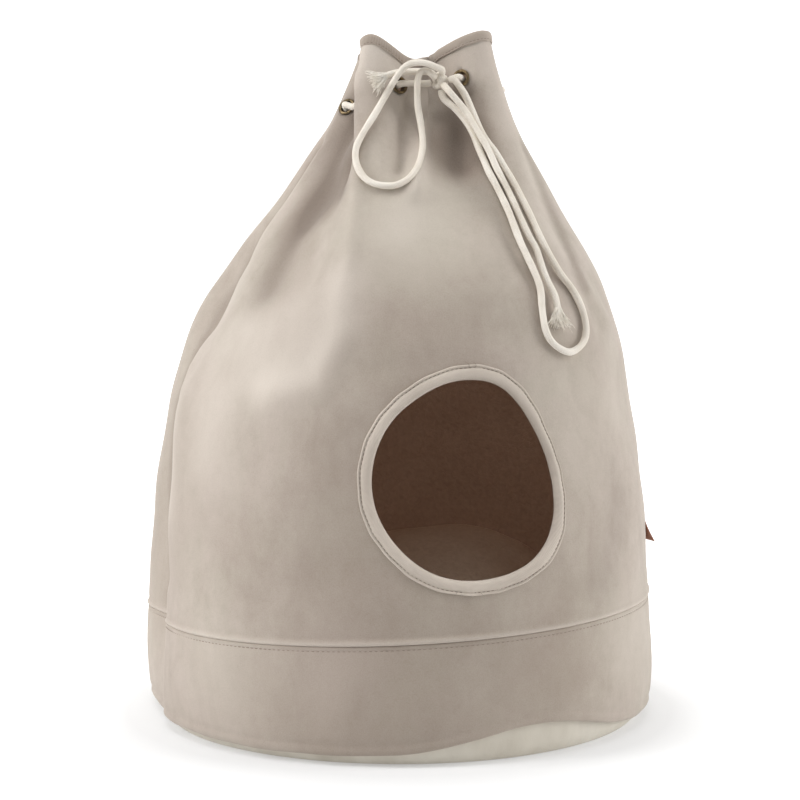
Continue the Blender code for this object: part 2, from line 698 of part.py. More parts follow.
def tube(name, points, finish):
    """A round cord along points."""
    data = bpy.data.curves.new(name, "CURVE")
    data.dimensions = "3D"
    data.bevel_depth = CORD_RADIUS
    data.bevel_resolution = 2
    data.use_fill_caps = True
    spline = data.splines.new("POLY")
    spline.points.add(len(points) - 1)
    for item, point in zip(spline.points, points):
        item.co = (*point, 1.0)
    data.materials.append(finish)
    made = bpy.data.objects.new(name, data)
    bpy.context.scene.collection.objects.link(made)
    return made


def from_knot(leaf, lead=0.0):
    """Where a strand meets the knot, or a short way out from there."""
    return (Vector(KNOT) + Vector(LEAVES[leaf]).normalized() * (KNOT_RADIUS + KNOT_STAND_OFF + lead)) * MM


def bow_strand(points, start, end=None):
    """A bow strand's points, which leave the knot squarely and, for a loop, meet it squarely again."""
    middle = [from_knot(start, KNOT_LEAD)] + [Vector(p) * MM for p in points]
    if end:
        middle.append(from_knot(end, KNOT_LEAD))
    made = [from_knot(start)] + even_route(middle, CORD_STEP)
    return made + [from_knot(end)] if end else made


def neck_route():
    """The cord's way round the neck: in and out through the eyelets, with both ends at the knot."""
    made = [from_knot("neck_left"), from_knot("neck_left", KNOT_LEAD)]
    side = 1
    last = None
    for index in CORD_ORDER:
        centre = Vector(SEAT_CENTRES[index])
        normal = Vector(SEAT_NORMALS[index])
        middle = centre - normal * (CLOTH / 2)
        if last is not None:
            made.append((last + middle) / 2)
        made.append(middle + normal * EYELET_REACH * side)
        made.append(middle - normal * EYELET_REACH * side)
        last = made[-1]
        side = -side
    return made + [from_knot("neck_right", KNOT_LEAD / 2), from_knot("neck_right")]


def knot(finish):
    """The bow's knot: a round lump with three turns of cord standing out of it."""
    bm = bmesh.new()
    bmesh.ops.create_icosphere(bm, subdivisions=3, radius=KNOT_RADIUS * MM)
    axis = Vector(KNOT_AXIS).normalized()
    for vert in bm.verts:
        ridge = abs(math.sin(KNOT_TURNS * vert.co.angle(axis)))
        vert.co *= KNOT_GROOVE + (1 - KNOT_GROOVE) * ridge
    bmesh.ops.translate(bm, verts=bm.verts, vec=Vector(KNOT) * MM)
    return finish_object("drawstring_knot", bm, finish)


def frayed_end(name, cord, way, face, finish):
    """Loose strands, fused into a short head that sits square on the end of a cord."""
    cord_way = (cord[-1] - cord[-2]).normalized()
    way = Vector(way).normalized()
    across = way.cross(Vector(face)).normalized()
    out = across.cross(way)
    seat_across = across - cord_way * across.dot(cord_way)
    seat_out = seat_across.normalized().cross(cord_way)
    tip = cord[-1] + cord_way * SEAT_GAP
    draw = random.Random(name)
    turns = [i * 2 * math.pi / FRAY_SIDES for i in range(FRAY_SIDES)]
    rings = [[tip + way * a + (across * math.cos(t) + out * FRAY_FLATNESS * math.sin(t)) * r for t in turns]
             for a, r in FRAY_SECTIONS]
    rings[0] = [tip + (seat_across.normalized() * math.cos(t) + seat_out * math.sin(t)) * CORD_RADIUS
                for t in turns]
    bm = bmesh.new()
    made = add_rings(bm, rings, close_rings=False)
    bm.faces.new(made[0][::-1])
    centre = bm.faces.new(made[-1])
    rooted = [f for f in bm.faces if f is not centre and sum(v in made[-1] for v in f.verts) == 2]
    rooted += [f for f in bm.faces if sum(v in made[1] for v in f.verts) == 2
               and sum(v in made[2] for v in f.verts) == 2]
    rooted.append(centre)
    bmesh.ops.recalc_face_normals(bm, faces=bm.faces)
    bmesh.ops.inset_individual(bm, faces=rooted, thickness=SEAT_GAP)
    for root in rooted:
        middle = root.calc_center_median()
        aside = middle - tip - way * (middle - tip).dot(way)
        aside = across * aside.dot(across) + out * aside.dot(out) * FRAY_OUT_SHARE
        lean = way + aside / FRAY_HEAD_RADIUS * FRAY_SPREAD
        lean += across * FRAY_SWING[0] * draw.uniform(-1, 1) + out * FRAY_SWING[1] * draw.uniform(-1, 1)
        grown = bmesh.ops.extrude_discrete_faces(bm, faces=[root])["faces"][0]
        end = middle + lean.normalized() * draw.uniform(*FRAY_LENGTHS)
        for vert in grown.verts:
            vert.co = end + (vert.co - middle) * FRAY_TAPER
    return finish_object(name, bm, finish)


def drawstring(finish):
    """The cord through the eyelets, its knot, the bow's two loops and its two frayed ends."""
    knot(finish)
    tube("drawstring_neck", smooth_route(neck_route(), CORD_STEP), finish)
    tube("bow_loop_short", bow_strand(LOOP_SHORT, "loop_short_out", "loop_short_back"), finish)
    tube("bow_loop_long", bow_strand(LOOP_LONG, "loop_long_out", "loop_long_back"), finish)
    long_end = bow_strand(END_LONG, "end_long")
    short_end = bow_strand(END_SHORT, "end_short")
    tube("bow_end_long", long_end, finish)
    tube("bow_end_short", short_end, finish)
    frayed_end("frayed_end_long", long_end, *FRAY_LONG, finish)
    frayed_end("frayed_end_short", short_end, *FRAY_SHORT, finish)


def clear_scene():
    """Remove what the scene starts with."""
    for old in list(bpy.data.objects):
        bpy.data.objects.remove(old, do_unlink=True)


def main():
    clear_scene()
    suede = material("suede", (0.42, 0.37, 0.31), 0.9)
    cream = material("cream_canvas", (0.78, 0.73, 0.62), 0.9)
    tape = material("binding_tape", (0.34, 0.28, 0.23), 0.85)
    plush = material("plush", (0.62, 0.50, 0.36), 0.95)
    brass = material("antique_brass", (0.20, 0.14, 0.08), 0.4, metallic=1.0)
    cotton = material("cotton_cord", (0.80, 0.72, 0.58), 0.9)
    leather = material("leather", (0.28, 0.12, 0.08), 0.5)
    wall_panel(suede)
    base_band(suede)
    base_panel(cream)
    top_binding(tape)
    entry_binding(tape)
    for index in range(len(EYELETS)):
        eyelet(index, brass)
    drawstring(cotton)
    cushion(plush)
    leather_tag(leather)


main()
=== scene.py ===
"""Looks of the cat cave bed: suede laminate, plush lining, ribbed bindings, brass eyelets and cotton cord.

Metres, +Z up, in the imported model's frame. Azimuths are in degrees and run from -Y towards +X.
"""
import math
import random

import bmesh
import bpy
import numpy as np
from mathutils import Matrix, Vector

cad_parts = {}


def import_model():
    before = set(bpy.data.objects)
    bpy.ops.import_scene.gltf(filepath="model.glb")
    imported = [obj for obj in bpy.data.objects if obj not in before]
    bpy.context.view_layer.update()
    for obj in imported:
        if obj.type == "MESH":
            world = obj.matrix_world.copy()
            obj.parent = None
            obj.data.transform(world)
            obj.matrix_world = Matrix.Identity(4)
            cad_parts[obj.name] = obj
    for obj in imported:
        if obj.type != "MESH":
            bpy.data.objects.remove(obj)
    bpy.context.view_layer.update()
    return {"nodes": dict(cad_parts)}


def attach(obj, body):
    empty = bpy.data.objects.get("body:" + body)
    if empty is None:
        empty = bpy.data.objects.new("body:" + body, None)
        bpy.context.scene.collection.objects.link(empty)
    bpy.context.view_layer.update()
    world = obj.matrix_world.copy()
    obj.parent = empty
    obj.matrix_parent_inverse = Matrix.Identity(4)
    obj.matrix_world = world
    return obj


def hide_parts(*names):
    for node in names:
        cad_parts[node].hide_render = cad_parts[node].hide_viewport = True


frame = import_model()

MM = 0.001
CLOTH = 4.0 * MM
# Clear gaps: round an eyelet's barrel, and from the seam to the wall above it and the band below it
SEAT_GAP = 0.3 * MM
SEAM_GAP = 0.1 * MM

# Camera, fitted to the photograph: place, tilt below level, focal length on a 36 mm sensor
CAMERA_PLACE = (0.0, -1.72, 0.41)
CAMERA_TILT = 4.44
CAMERA_LENS = 86.27

# The body's tables, as in the CAD source
# columns: height, radius, lean towards +X
PROFILE = (
    (0.000, 0.2190, 0.000),
    (0.012, 0.2238, 0.000),
    (0.024, 0.2255, 0.000),
    (0.048, 0.2268, 0.000),
    (0.102, 0.2245, 0.000),
    (0.186, 0.2190, 0.000),
    (0.276, 0.2065, 0.000),
    (0.321, 0.1965, 0.002),
    (0.366, 0.1805, 0.005),
    (0.411, 0.1555, 0.009),
    (0.456, 0.1240, 0.014),
    (0.501, 0.0970, 0.017),
    (0.545, 0.0730, 0.021),
    (0.572, 0.0625, 0.022),
    (0.612, 0.0560, 0.021),
)
# Columns of the next two tables are heights: hem, foot, hip, waist, shoulder, throat, rim.
FOLD_HEIGHTS = (0.000, 0.100, 0.270, 0.363, 0.453, 0.543, 0.600)
# Azimuth of each fold line at those heights, in degrees
FOLD_AZIMUTHS = {
    "back_valley": (-180, -180, -180, -180, -180, -180, -180),
    "back_left_ridge": (-140, -140, -140, -140, -138, -138, -140),
    "left_lobe": (-96, -96, -97, -97, -98, -106, -112),
    "left_groove": (-73, -73, -75.5, -80, -86, -97, -104),
    "left_ridge": (-67, -67, -69, -73, -80, -91, -98),
    "left_valley": (-42, -42, -42, -43, -52, -72, -78),
    "front_left_ridge": (-15, -15, -15, -16, -24, -42, -46),
    "front_valley": (12, 12, 12, 12, 10, 5, 4),
    "front_right_ridge": (66, 66, 66, 61, 56, 51, 48),
    "right_side": (84, 84, 84, 84, 84, 90, 92),
    "back_right_ridge": (126, 126, 126, 128, 132, 135, 136),
}
# How far each fold line stands out of the round size at those heights, in millimetres
FOLD_PUSH = {
    "back_valley": (0, 0, 0, -1, -11, -26, -24),
    "back_left_ridge": (0, 2, 2, 1, 4, 8, 10),
    "left_lobe": (4, 6, 4, 3, 0.5, 3, 7),
    "left_groove": (-7, -18, -16, -34, -20, 1, 4),
    "left_ridge": (-2, -6, 1, -18, -5, -4, -4),
    "left_valley": (0, 0, -3, -14, -20, -30, -24),
    "front_left_ridge": (0, 0, 0, 1, 3, 8, 17),
    "front_valley": (0, 0, 1, -1, -13, -37, -32),
    "front_right_ridge": (0, 0.5, 3, 8, 10, 12, 12),
    "right_side": (0, -1, -1, 0, -2, -18, -19),
    "back_right_ridge": (0, 0, 0, 2, 5, 12, 14),
}
# Mesh columns from each fold line to the next: the CAD's own, and how many times finer here
FOLD_STEPS = (5, 4, 4, 2, 4, 5, 6, 9, 4, 4, 5)
WALL_FINER = 6
BAND_FINER = 5
RIM_HEIGHTS = (0.576, 0.586, 0.588, 0.586, 0.585, 0.582, 0.5945, 0.580, 0.600, 0.590, 0.588)
# Where the gathered rim dips or peaks: azimuth in degrees, height in mm, spread in degrees
RIM_SHAPES = ((-18, -9.0, 13), (-38, 3.0, 9), (-51, -2.5, 8))
SEAM_HEIGHT = 0.0990
SEAM_TILT = 0.0095
BAND_EDGE = 0.0068
BAND_LIFT = 0.0218
BAND_LIFT_AZIMUTH = 31.0
BAND_LIFT_SPREAD = 22.0

# Soft rolls of the cloth's edges. Columns: distance from the edge, how far the face stands out, in mm
WALL_HEM = ((0.0, -0.5), (0.5, 0.4), (1.3, 1.0), (2.3, 1.0), (3.3, 0.6), (4.4, 0.0), (6.0, -0.3), (9.0, 0.0))
BAND_HEM = ((0.0, -1.8), (0.8, -0.4), (2.2, 0.3), (5.0, 0.5), (8.0, -0.4), (9.6, -0.6), (14.0, 0.0))
BAND_HEAD = ((0.0, -0.6), (0.8, -0.2), (2.4, 0.0), (3.4, -0.5), (4.4, -0.1), (6.5, 0.0), (10.0, 0.0))
WALL_ROWS_TOTAL = 132
BAND_ROWS_TOTAL = 46

# Round entry
ENTRY_AZIMUTH = 14.3
ENTRY_HEIGHT = 0.2285
ENTRY_HALF_WIDTH = 0.0765
ENTRY_HALF_HEIGHT = 0.0790
ENTRY_WALL_RADIUS = 0.2150
ENTRY_EDGE = 2.3 * MM
# Where the hole is fuller or flatter than an ellipse: angle round it, size in mm, spread in degrees
ENTRY_SWELLS = ((-36, 10.5, 32), (28, -1.5, 16), (67, 2.5, 18), (122, -2.2, 22), (-138, -1.8, 24))

# Eyelets: azimuth in degrees and height in metres
EYELETS = (
    (31.0, 0.5580), (-22.0, 0.5520), (-58.0, 0.5360), (-86.0, 0.5370),
    (-160.0, 0.5430), (160.0, 0.5450), (112.0, 0.5460), (71.0, 0.5500),
)
EYELET_RADIUS = 8.0 * MM
EYELET_BARREL_RADIUS = 6.0 * MM
EYELET_FLAT = 8.5 * MM
EYELET_FADE = 14.0 * MM

# Drawstring. Its routes are the CAD source's, in millimetres, but the cord is drawn a little thinner.
DRAWN_RADIUS = 2.95 * MM
KNOT = (35.0, -62.0, 555.0)
KNOT_RADIUS = 8.2
KNOT_STAND_OFF = 0.4
KNOT_LEAD = 4.0
LEAVES = {
    "neck_left": (-0.984, 0.098, -0.148),
    "neck_right": (0.930, 0.300, 0.200),
    "end_short": (-0.745, 0.150, 0.650),
    "loop_short_out": (0.100, -0.650, 0.750),
    "loop_short_back": (-0.610, -0.710, 0.355),
    "loop_long_out": (0.050, -0.250, -0.967),
    "loop_long_back": (0.850, -0.500, 0.100),
    "end_long": (0.300, -0.830, -0.470),
}
LOOP_SHORT = (
    (32.5, -72.5, 565.0), (27.0, -75.0, 567.5), (19.5, -76.0, 569.5), (11.5, -75.5, 569.5),
    (5.0, -74.0, 567.0), (0.5, -73.0, 562.5), (-5.0, -71.5, 554.5), (-12.0, -69.5, 543.0),
    (-21.0, -79.5, 526.5), (-30.3, -88.5, 511.0), (-36.8, -96.5, 497.0), (-36.8, -104.0, 484.0),
    (-31.5, -111.5, 473.0), (-23.0, -117.5, 466.5), (-11.0, -119.0, 464.0), (-1.0, -116.0, 465.5),
    (10.0, -107.5, 473.0), (16.3, -96.0, 484.5), (19.3, -82.0, 500.0), (17.8, -72.5, 517.5),
    (15.2, -70.0, 533.0), (14.7, -70.0, 546.0), (14.8, -70.0, 554.0), (16.5, -70.0, 561.0),
    (20.5, -69.8, 564.0), (24.8, -69.3, 562.5),
)
LOOP_LONG = (
    (38.5, -66.0, 538.5), (46.0, -67.5, 532.5), (54.8, -71.0, 522.5), (61.3, -77.5, 510.9),
    (67.9, -86.5, 493.7), (75.1, -97.0, 475.8), (79.1, -101.0, 468.1), (89.9, -114.0, 444.5),
    (99.1, -129.8, 418.6), (109.1, -139.6, 396.1), (114.9, -145.8, 380.1), (116.1, -153.8, 362.2),
    (118.6, -158.8, 346.2), (124.4, -158.5, 335.5), (135.9, -152.8, 328.0), (144.5, -145.3, 329.0),
    (152.7, -135.0, 336.8), (154.3, -129.0, 349.0), (150.6, -126.5, 363.8), (142.9, -125.0, 378.7),
    (132.3, -127.0, 392.5), (123.5, -123.0, 408.3), (117.0, -119.0, 420.8), (109.0, -109.8, 439.5),
    (98.9, -99.8, 461.3), (90.5, -93.5, 476.5), (80.5, -86.5, 493.5), (73.5, -81.5, 503.5),
    (67.2, -75.8, 515.1), (61.5, -69.5, 529.7), (55.0, -67.0, 544.0),
)
END_LONG = (
    (42.0, -76.5, 545.0), (49.0, -76.5, 537.0), (56.4, -77.5, 527.5), (64.4, -83.5, 513.5),
    (73.5, -90.5, 497.5), (81.8, -96.5, 478.8), (90.3, -103.0, 461.5), (99.0, -113.0, 441.3),
    (106.6, -122.5, 423.5), (112.8, -126.5, 412.5), (116.0, -132.8, 401.0), (121.0, -139.0, 386.5),
    (127.2, -143.0, 373.4), (129.5, -148.5, 362.0),
)
END_SHORT = ((19.0, -60.5, 563.5), (8.0, -61.5, 563.3), (-1.0, -65.0, 562.3), (-8.0, -67.0, 560.5),
             (-12.5, -68.0, 558.8))
FRAY_LONG = ((0.12, -0.32, -0.94), (0.60, -0.76, 0.33))
FRAY_SHORT = ((-0.88, -0.20, -0.44), (0.16, -0.98, 0.15))
EYELET_REACH = 7.5 * MM
CORD_ORDER = (1, 2, 3, 4, 5, 6, 7, 0)
CORD_SIDES = 24
CORD_STEP = 0.9 * MM
BRAID_STRANDS = 8
BRAID_PITCH = 16 * MM
BRAID_DEPTH = 0.17 * MM

LINE_COUNT = len(FOLD_STEPS)
AZIMUTH_TABLE = np.radians(np.array(list(FOLD_AZIMUTHS.values()), dtype=float))
PUSH_TABLE = MM * np.array(list(FOLD_PUSH.values()), dtype=float)
PROFILE_TABLE = np.array(PROFILE)


# Smooth curves through tables

def curve_slopes(x, y):
    """Slopes of a smooth curve through points, along the last axis, that never overshoots them."""
    step = np.diff(x, axis=-1)
    rise = np.diff(y, axis=-1) / step
    before, after = rise[..., :-1], rise[..., 1:]
    near, far = step[..., :-1], step[..., 1:]
    agree = before * after > 0
    before = np.where(agree, before, 1.0)
    after = np.where(agree, after, 1.0)
    first, second = 2 * far + near, far + 2 * near
    inner = np.where(agree, (first + second) / (first / before + second / after), 0.0)
    return np.concatenate([rise[..., :1], inner, rise[..., -1:]], axis=-1)


def curve_value(x, x_before, x_after, y_before, y_after, slope_before, slope_after):
    """Value at x of the cubic between two points with the given slopes."""
    span = x_after - x_before
    t = (x - x_before) / span
    rest = 1 - t
    return (y_before * (1 + 2 * t) * rest ** 2 + y_after * t ** 2 * (3 - 2 * t)
            + span * (slope_before * t * rest ** 2 - slope_after * t ** 2 * rest))


def table_at(heights, rows, z):
    """Each row of a table, as a smooth curve over the heights, read at every z."""
    heights = np.asarray(heights, dtype=float)
    rows = np.asarray(rows, dtype=float)
    z = np.clip(z, heights[0], heights[-1])
    slopes = curve_slopes(heights[None, :], rows)
    k = np.clip(np.searchsorted(heights, z, side="right") - 1, 0, len(heights) - 2)
    return curve_value(z[:, None], heights[k][:, None], heights[k + 1][:, None],
                       rows[:, k].T, rows[:, k + 1].T, slopes[:, k].T, slopes[:, k + 1].T)


def hump(distance, width):
    """A soft bump that is 1 at 0 and fades out over a width."""
    return np.exp(-(distance / width) ** 2)


def smooth_step(low, high, value):
    """Rises smoothly from 0 at low to 1 at high."""
    t = np.clip((value - low) / (high - low), 0.0, 1.0)
    return t * t * (3 - 2 * t)


# Lines and directions

def unit(vectors):
    """Vectors of the same directions with length 1."""
    return vectors / np.linalg.norm(vectors, axis=-1, keepdims=True)


def circle(count):
    """Angles evenly spaced round a full turn."""
    return np.arange(count) * 2 * math.pi / count


def run_lengths(points):
    """How far along a line each of its points lies."""
    return np.concatenate([[0.0], np.cumsum(np.linalg.norm(np.diff(points, axis=0), axis=1))])


def on_line(values, run, where):
    """Values that are given at the points of a line, read at distances along it."""
    return np.stack([np.interp(where, run, values[:, axis]) for axis in range(3)], axis=-1)


# The folded body's surface

def wrapped(lines):
    """Fold lines' azimuths with two more at each end, a full turn away."""
    turn = 2 * math.pi
    return np.concatenate([lines[:, -2:] - turn, lines, lines[:, :2] + turn], axis=1)


def fold_lines(z):
    """Azimuth and radius of every fold line at each z, with two repeated at each end."""
    azimuths = wrapped(table_at(FOLD_HEIGHTS, AZIMUTH_TABLE, z))
    push = table_at(FOLD_HEIGHTS, PUSH_TABLE, z)
    round_size = table_at(PROFILE_TABLE[:, 0], PROFILE_TABLE[:, 1:].T, z)
    radii = push + round_size[:, :1]
    radii = np.concatenate([radii[:, -2:], radii, radii[:, :2]], axis=1)
    return azimuths, radii, round_size[:, 1]


def plain_shell(u, z):
    """Points of the body's outer face. u counts fold lines and runs on between them."""
    u = np.asarray(u, dtype=float) % LINE_COUNT
    z = np.asarray(z, dtype=float)
    azimuths, radii, lean = fold_lines(z)
    slopes = curve_slopes(azimuths, radii)
    k = np.floor(u).astype(int) + 2
    row = np.arange(len(u))
    a_before, a_after = azimuths[row, k], azimuths[row, k + 1]
    azimuth = a_before + (u - np.floor(u)) * (a_after - a_before)
    radius = curve_value(azimuth, a_before, a_after, radii[row, k], radii[row, k + 1],
                         slopes[row, k], slopes[row, k + 1])
    return np.stack([lean + radius * np.sin(azimuth), -radius * np.cos(azimuth), z], axis=1)


def line_position(azimuth_deg, z):
    """The u of points that are given by their azimuth."""
    azimuths = fold_lines(np.atleast_1d(np.asarray(z, dtype=float)))[0]
    wanted = np.radians(np.atleast_1d(np.asarray(azimuth_deg, dtype=float)))
    counts = np.arange(-2, LINE_COUNT + 2, dtype=float)
    return np.array([np.interp(a, row, counts) for a, row in zip(wanted, azimuths)])


def azimuth_of(u, z):
    """Azimuth in radians of points on the body."""
    u = np.asarray(u, dtype=float) % LINE_COUNT
    azimuths = fold_lines(np.asarray(z, dtype=float))[0]
    k = np.floor(u).astype(int) + 2
    row = np.arange(len(u))
    return azimuths[row, k] + (u - np.floor(u)) * (azimuths[row, k + 1] - azimuths[row, k])


def face_normals(surface, u, z):
    """Unit normals that point out of the body."""
    du, dz = 0.02, 0.5 * MM
    across = surface(u + du, z) - surface(u - du, z)
    up = surface(u, z + dz) - surface(u, z - dz)
    return unit(np.cross(across, up))


def eyelet_seats():
    """Centre and outward normal of every eyelet on the body."""
    azimuths = np.array([row[0] for row in EYELETS])
    heights = np.array([row[1] for row in EYELETS])
    u = line_position(azimuths, heights)
    return plain_shell(u, heights), face_normals(plain_shell, u, heights)


SEAT_CENTRES, SEAT_NORMALS = eyelet_seats()


def from_seat(points, centre, normal):
    """Height of points over an eyelet's seat, and their offsets sideways from its axis."""
    offset = points - centre
    height = (offset @ normal)[..., None]
    return height, offset - height * normal


def shell(u, z):
    """Points of the outer face, with the flats that the eyelets press into it."""
    points = plain_shell(u, z)
    for centre, normal in zip(SEAT_CENTRES, SEAT_NORMALS):
        height, flat = from_seat(points, centre, normal)
        near = np.linalg.norm(points - centre, axis=1) < 2 * EYELET_FADE
        fade = near * smooth_step(EYELET_FADE, EYELET_FLAT, np.linalg.norm(flat, axis=1))
        points = points - height * fade[:, None] * normal
    return points


def shell_offset(u, z, out):
    """Points at a distance out of the outer face."""
    u = np.asarray(u, dtype=float)
    z = np.asarray(z, dtype=float)
    out = np.broadcast_to(np.asarray(out, dtype=float), u.shape).reshape(-1, 1)
    return shell(u, z) + face_normals(shell, u, z) * out


def columns(finer):
    """The u of every mesh column, so that each fold line has a column of its own."""
    return np.concatenate([k + np.arange(n * finer) / (n * finer) for k, n in enumerate(FOLD_STEPS)])


def rim_height(u):
    """Height of the neck's rim, smooth round the body."""
    u = np.asarray(u, dtype=float) % LINE_COUNT
    k = np.floor(u).astype(int)
    t = smooth_step(0.0, 1.0, u - k)
    rim = np.array(RIM_HEIGHTS)
    smooth = rim[k] * (1 - t) + rim[(k + 1) % LINE_COUNT] * t
    azimuth = np.degrees(azimuth_of(u, smooth))
    return smooth + sum(size * MM * hump(azimuth - place, spread) for place, size, spread in RIM_SHAPES)


def seam_height(u):
    """Height of the band seam, a little higher at the right."""
    return SEAM_HEIGHT + SEAM_TILT * np.sin(azimuth_of(u, np.full(len(u), SEAM_HEIGHT)))


def band_edge(u):
    """Height of the band's lower edge, lifted at the front right."""
    azimuth = np.degrees(azimuth_of(u, np.zeros(len(u))))
    azimuth = (azimuth + 180) % 360 - 180
    return BAND_EDGE + BAND_LIFT * hump(azimuth - BAND_LIFT_AZIMUTH, BAND_LIFT_SPREAD)


# Small relief of the cloth

# Soft creases that the photograph shows, with a few guessed at the back: the points of a route, as azimuth in
# degrees and height in metres, then how far the crease stands out in mm and how wide it is in mm
CREASES = (
    (((-45, 0.560), (-43, 0.543), (-33, 0.500), (-28, 0.480), (-22.5, 0.453), (-18.5, 0.420), (-17, 0.400)),
     3.4, 7.5),
    (((-46, 0.575), (-45, 0.555)), 2.5, 10.0),
    (((-54, 0.525), (-46, 0.512), (-41, 0.500), (-38, 0.486)), -9.0, 12.0),
    (((-44, 0.500), (-39, 0.475), (-35, 0.450)), -4.0, 14.0),
    (((-40, 0.465), (-35, 0.425), (-33, 0.385)), -2.0, 17.0),
    (((-49, 0.455), (-51, 0.420), (-48, 0.380)), -4.5, 21.0),
    (((-86, 0.500), (-82, 0.475), (-79, 0.453), (-76, 0.420), (-74, 0.400)), -5.5, 11.0),
    (((-75, 0.410), (-73, 0.375), (-72, 0.345)), -3.0, 11.0),
    (((-94, 0.520), (-84, 0.475), (-82, 0.453), (-80, 0.400), (-79, 0.363), (-75.5, 0.270), (-74, 0.190),
      (-73, 0.112)), -4.5, 5.0),
    (((-80, 0.500), (-74, 0.453), (-71, 0.420), (-71, 0.370), (-70, 0.310)), 2.0, 7.0),
    (((-70, 0.280), (-69, 0.240), (-68.5, 0.190), (-68, 0.130)), -2.2, 9.0),
    (((-84, 0.605), (-100, 0.605), (-118, 0.605)), -9.0, 27.0),
    (((25, 0.540), (25, 0.505), (22, 0.485)), -9.0, 13.0),
    (((20, 0.450), (16, 0.415)), -2.5, 20.0),
    (((3, 0.540), (2, 0.500), (-1, 0.460)), 6.0, 9.0),
    (((-13, 0.548), (-11, 0.510), (-8, 0.480)), -4.0, 6.5),
    (((-17, 0.380), (-15, 0.347), (-19, 0.303), (-30, 0.294)), 3.0, 13.0),
    (((-30, 0.340), (-34, 0.322), (-46, 0.312)), -1.2, 14.0),
    (((-12, 0.318), (4, 0.310), (20, 0.306)), -1.0, 15.0),
    (((36, 0.470), (44, 0.430), (54, 0.390), (62, 0.350)), 2.2, 10.0),
    (((56, 0.500), (54, 0.460), (52, 0.420), (53, 0.380), (57, 0.345)), -1.8, 7.0),
    (((26, 0.450), (34, 0.410), (44, 0.365)), -1.6, 12.0),
    (((-62, 0.270), (-50, 0.245), (-38, 0.230)), -0.9, 16.0),
    (((-58, 0.175), (-40, 0.160), (-22, 0.165)), 0.8, 18.0),
    (((44, 0.245), (52, 0.215), (58, 0.180)), -0.8, 14.0),
    (((38, 0.140), (50, 0.132), (66, 0.138)), 0.8, 12.0),
    (((100, 0.470), (104, 0.420), (110, 0.380)), 2.2, 12.0),
    (((170, 0.480), (176, 0.430), (186, 0.390)), -2.2, 14.0),
    (((-120, 0.470), (-116, 0.420), (-112, 0.370)), 2.0, 13.0),
    (((140, 0.250), (165, 0.235), (190, 0.245)), 1.2, 18.0),
    (((-150, 0.200), (-130, 0.190), (-108, 0.205)), -1.1, 16.0),
)
# Painted shade along the folds and in the valleys, and painted highlight on ridges and lit faces: route as
# above, share of the painted shade (below 0) or painted highlight colour, width in mm
PAINTED_SHADING_LINES = (
    (((-93, 0.500), (-90, 0.453), (-88, 0.420), (-86.5, 0.380), (-86, 0.330), (-85.5, 0.270), (-82, 0.220),
      (-78, 0.160), (-75.5, 0.110)), -0.45, 5.5),
    (((-72, 0.453), (-68, 0.400), (-69, 0.340), (-68, 0.270), (-66, 0.190)), 0.30, 13.0),
    (((-74, 0.545), (-68, 0.520), (-61, 0.500), (-54, 0.480), (-51, 0.453)), -1.20, 24.0),
    (((-51, 0.445), (-52, 0.420), (-50, 0.400), (-48, 0.380)), -0.60, 19.0),
    (((-50, 0.540), (-46, 0.520), (-42, 0.500), (-38, 0.480), (-36, 0.464)), -0.90, 10.0),
    (((27, 0.545), (27, 0.515), (25, 0.495)), -0.95, 20.0),
    (((26, 0.500), (30, 0.455)), -0.30, 24.0),
    (((-13, 0.550), (-11, 0.510), (-8, 0.478)), -0.45, 7.0),
    (((1, 0.520), (-1, 0.470), (-4, 0.430)), 0.35, 20.0),
    (((58, 0.500), (56, 0.460), (54, 0.420), (55, 0.380)), -0.45, 7.0),
    (((52, 0.480), (49, 0.440), (48, 0.400), (50, 0.370)), 0.40, 13.0),
    (((-18, 0.385), (-17, 0.350), (-22, 0.312), (-34, 0.302)), 0.60, 18.0),
    (((-46, 0.340), (-40, 0.305), (-48, 0.285)), 0.30, 26.0),
    (((-38, 0.590), (-30, 0.560)), 0.75, 24.0),
    (((34, 0.590), (42, 0.560), (46, 0.520)), 0.50, 22.0),
    (((-58, 0.330), (-52, 0.290), (-50, 0.240)), 0.30, 26.0),
    (((48, 0.140), (56, 0.180), (60, 0.240)), -0.30, 22.0),
    (((62, 0.330), (60, 0.280), (62, 0.230)), 0.25, 20.0),
)
# A painted highlight makes the rolled hem over the band paler
HEM_HIGHLIGHT = 0.6
HEM_HIGHLIGHT_WIDTH = 3.0 * MM
# Slow waves of hand-laid cloth: waves round the body, waves per metre of height, start, size in mm
WAVES = ((7, 9.0, 0.3, 0.45), (11, -6.5, 1.9, 0.35), (5, 14.0, 4.1, 0.35), (17, 12.0, 2.7, 0.18))
# Valleys where the drawn cord gathers the neck: azimuth, half width in degrees
GATHERED = ((5.0, 15.0), (90.0, 14.0), (180.0, 15.0), (-78.0, 12.0))
GATHER_PERIOD = 8.6
GATHER_SIZE = 0.75 * MM
GATHER_FROM = 0.545
GATHER_TO = 0.578
# Height above the seam over which the waves reach their full size, in metres
WAVES_RISE = 0.03
# Distances from the entry's centre at which the relief starts and is full
ENTRY_CALM = (ENTRY_HALF_HEIGHT + 16 * MM, ENTRY_HALF_HEIGHT + 36 * MM)


def angle_apart(a, b):
    """Signed difference of two azimuths in degrees, from -180 to 180."""
    return (a - b + 180) % 360 - 180


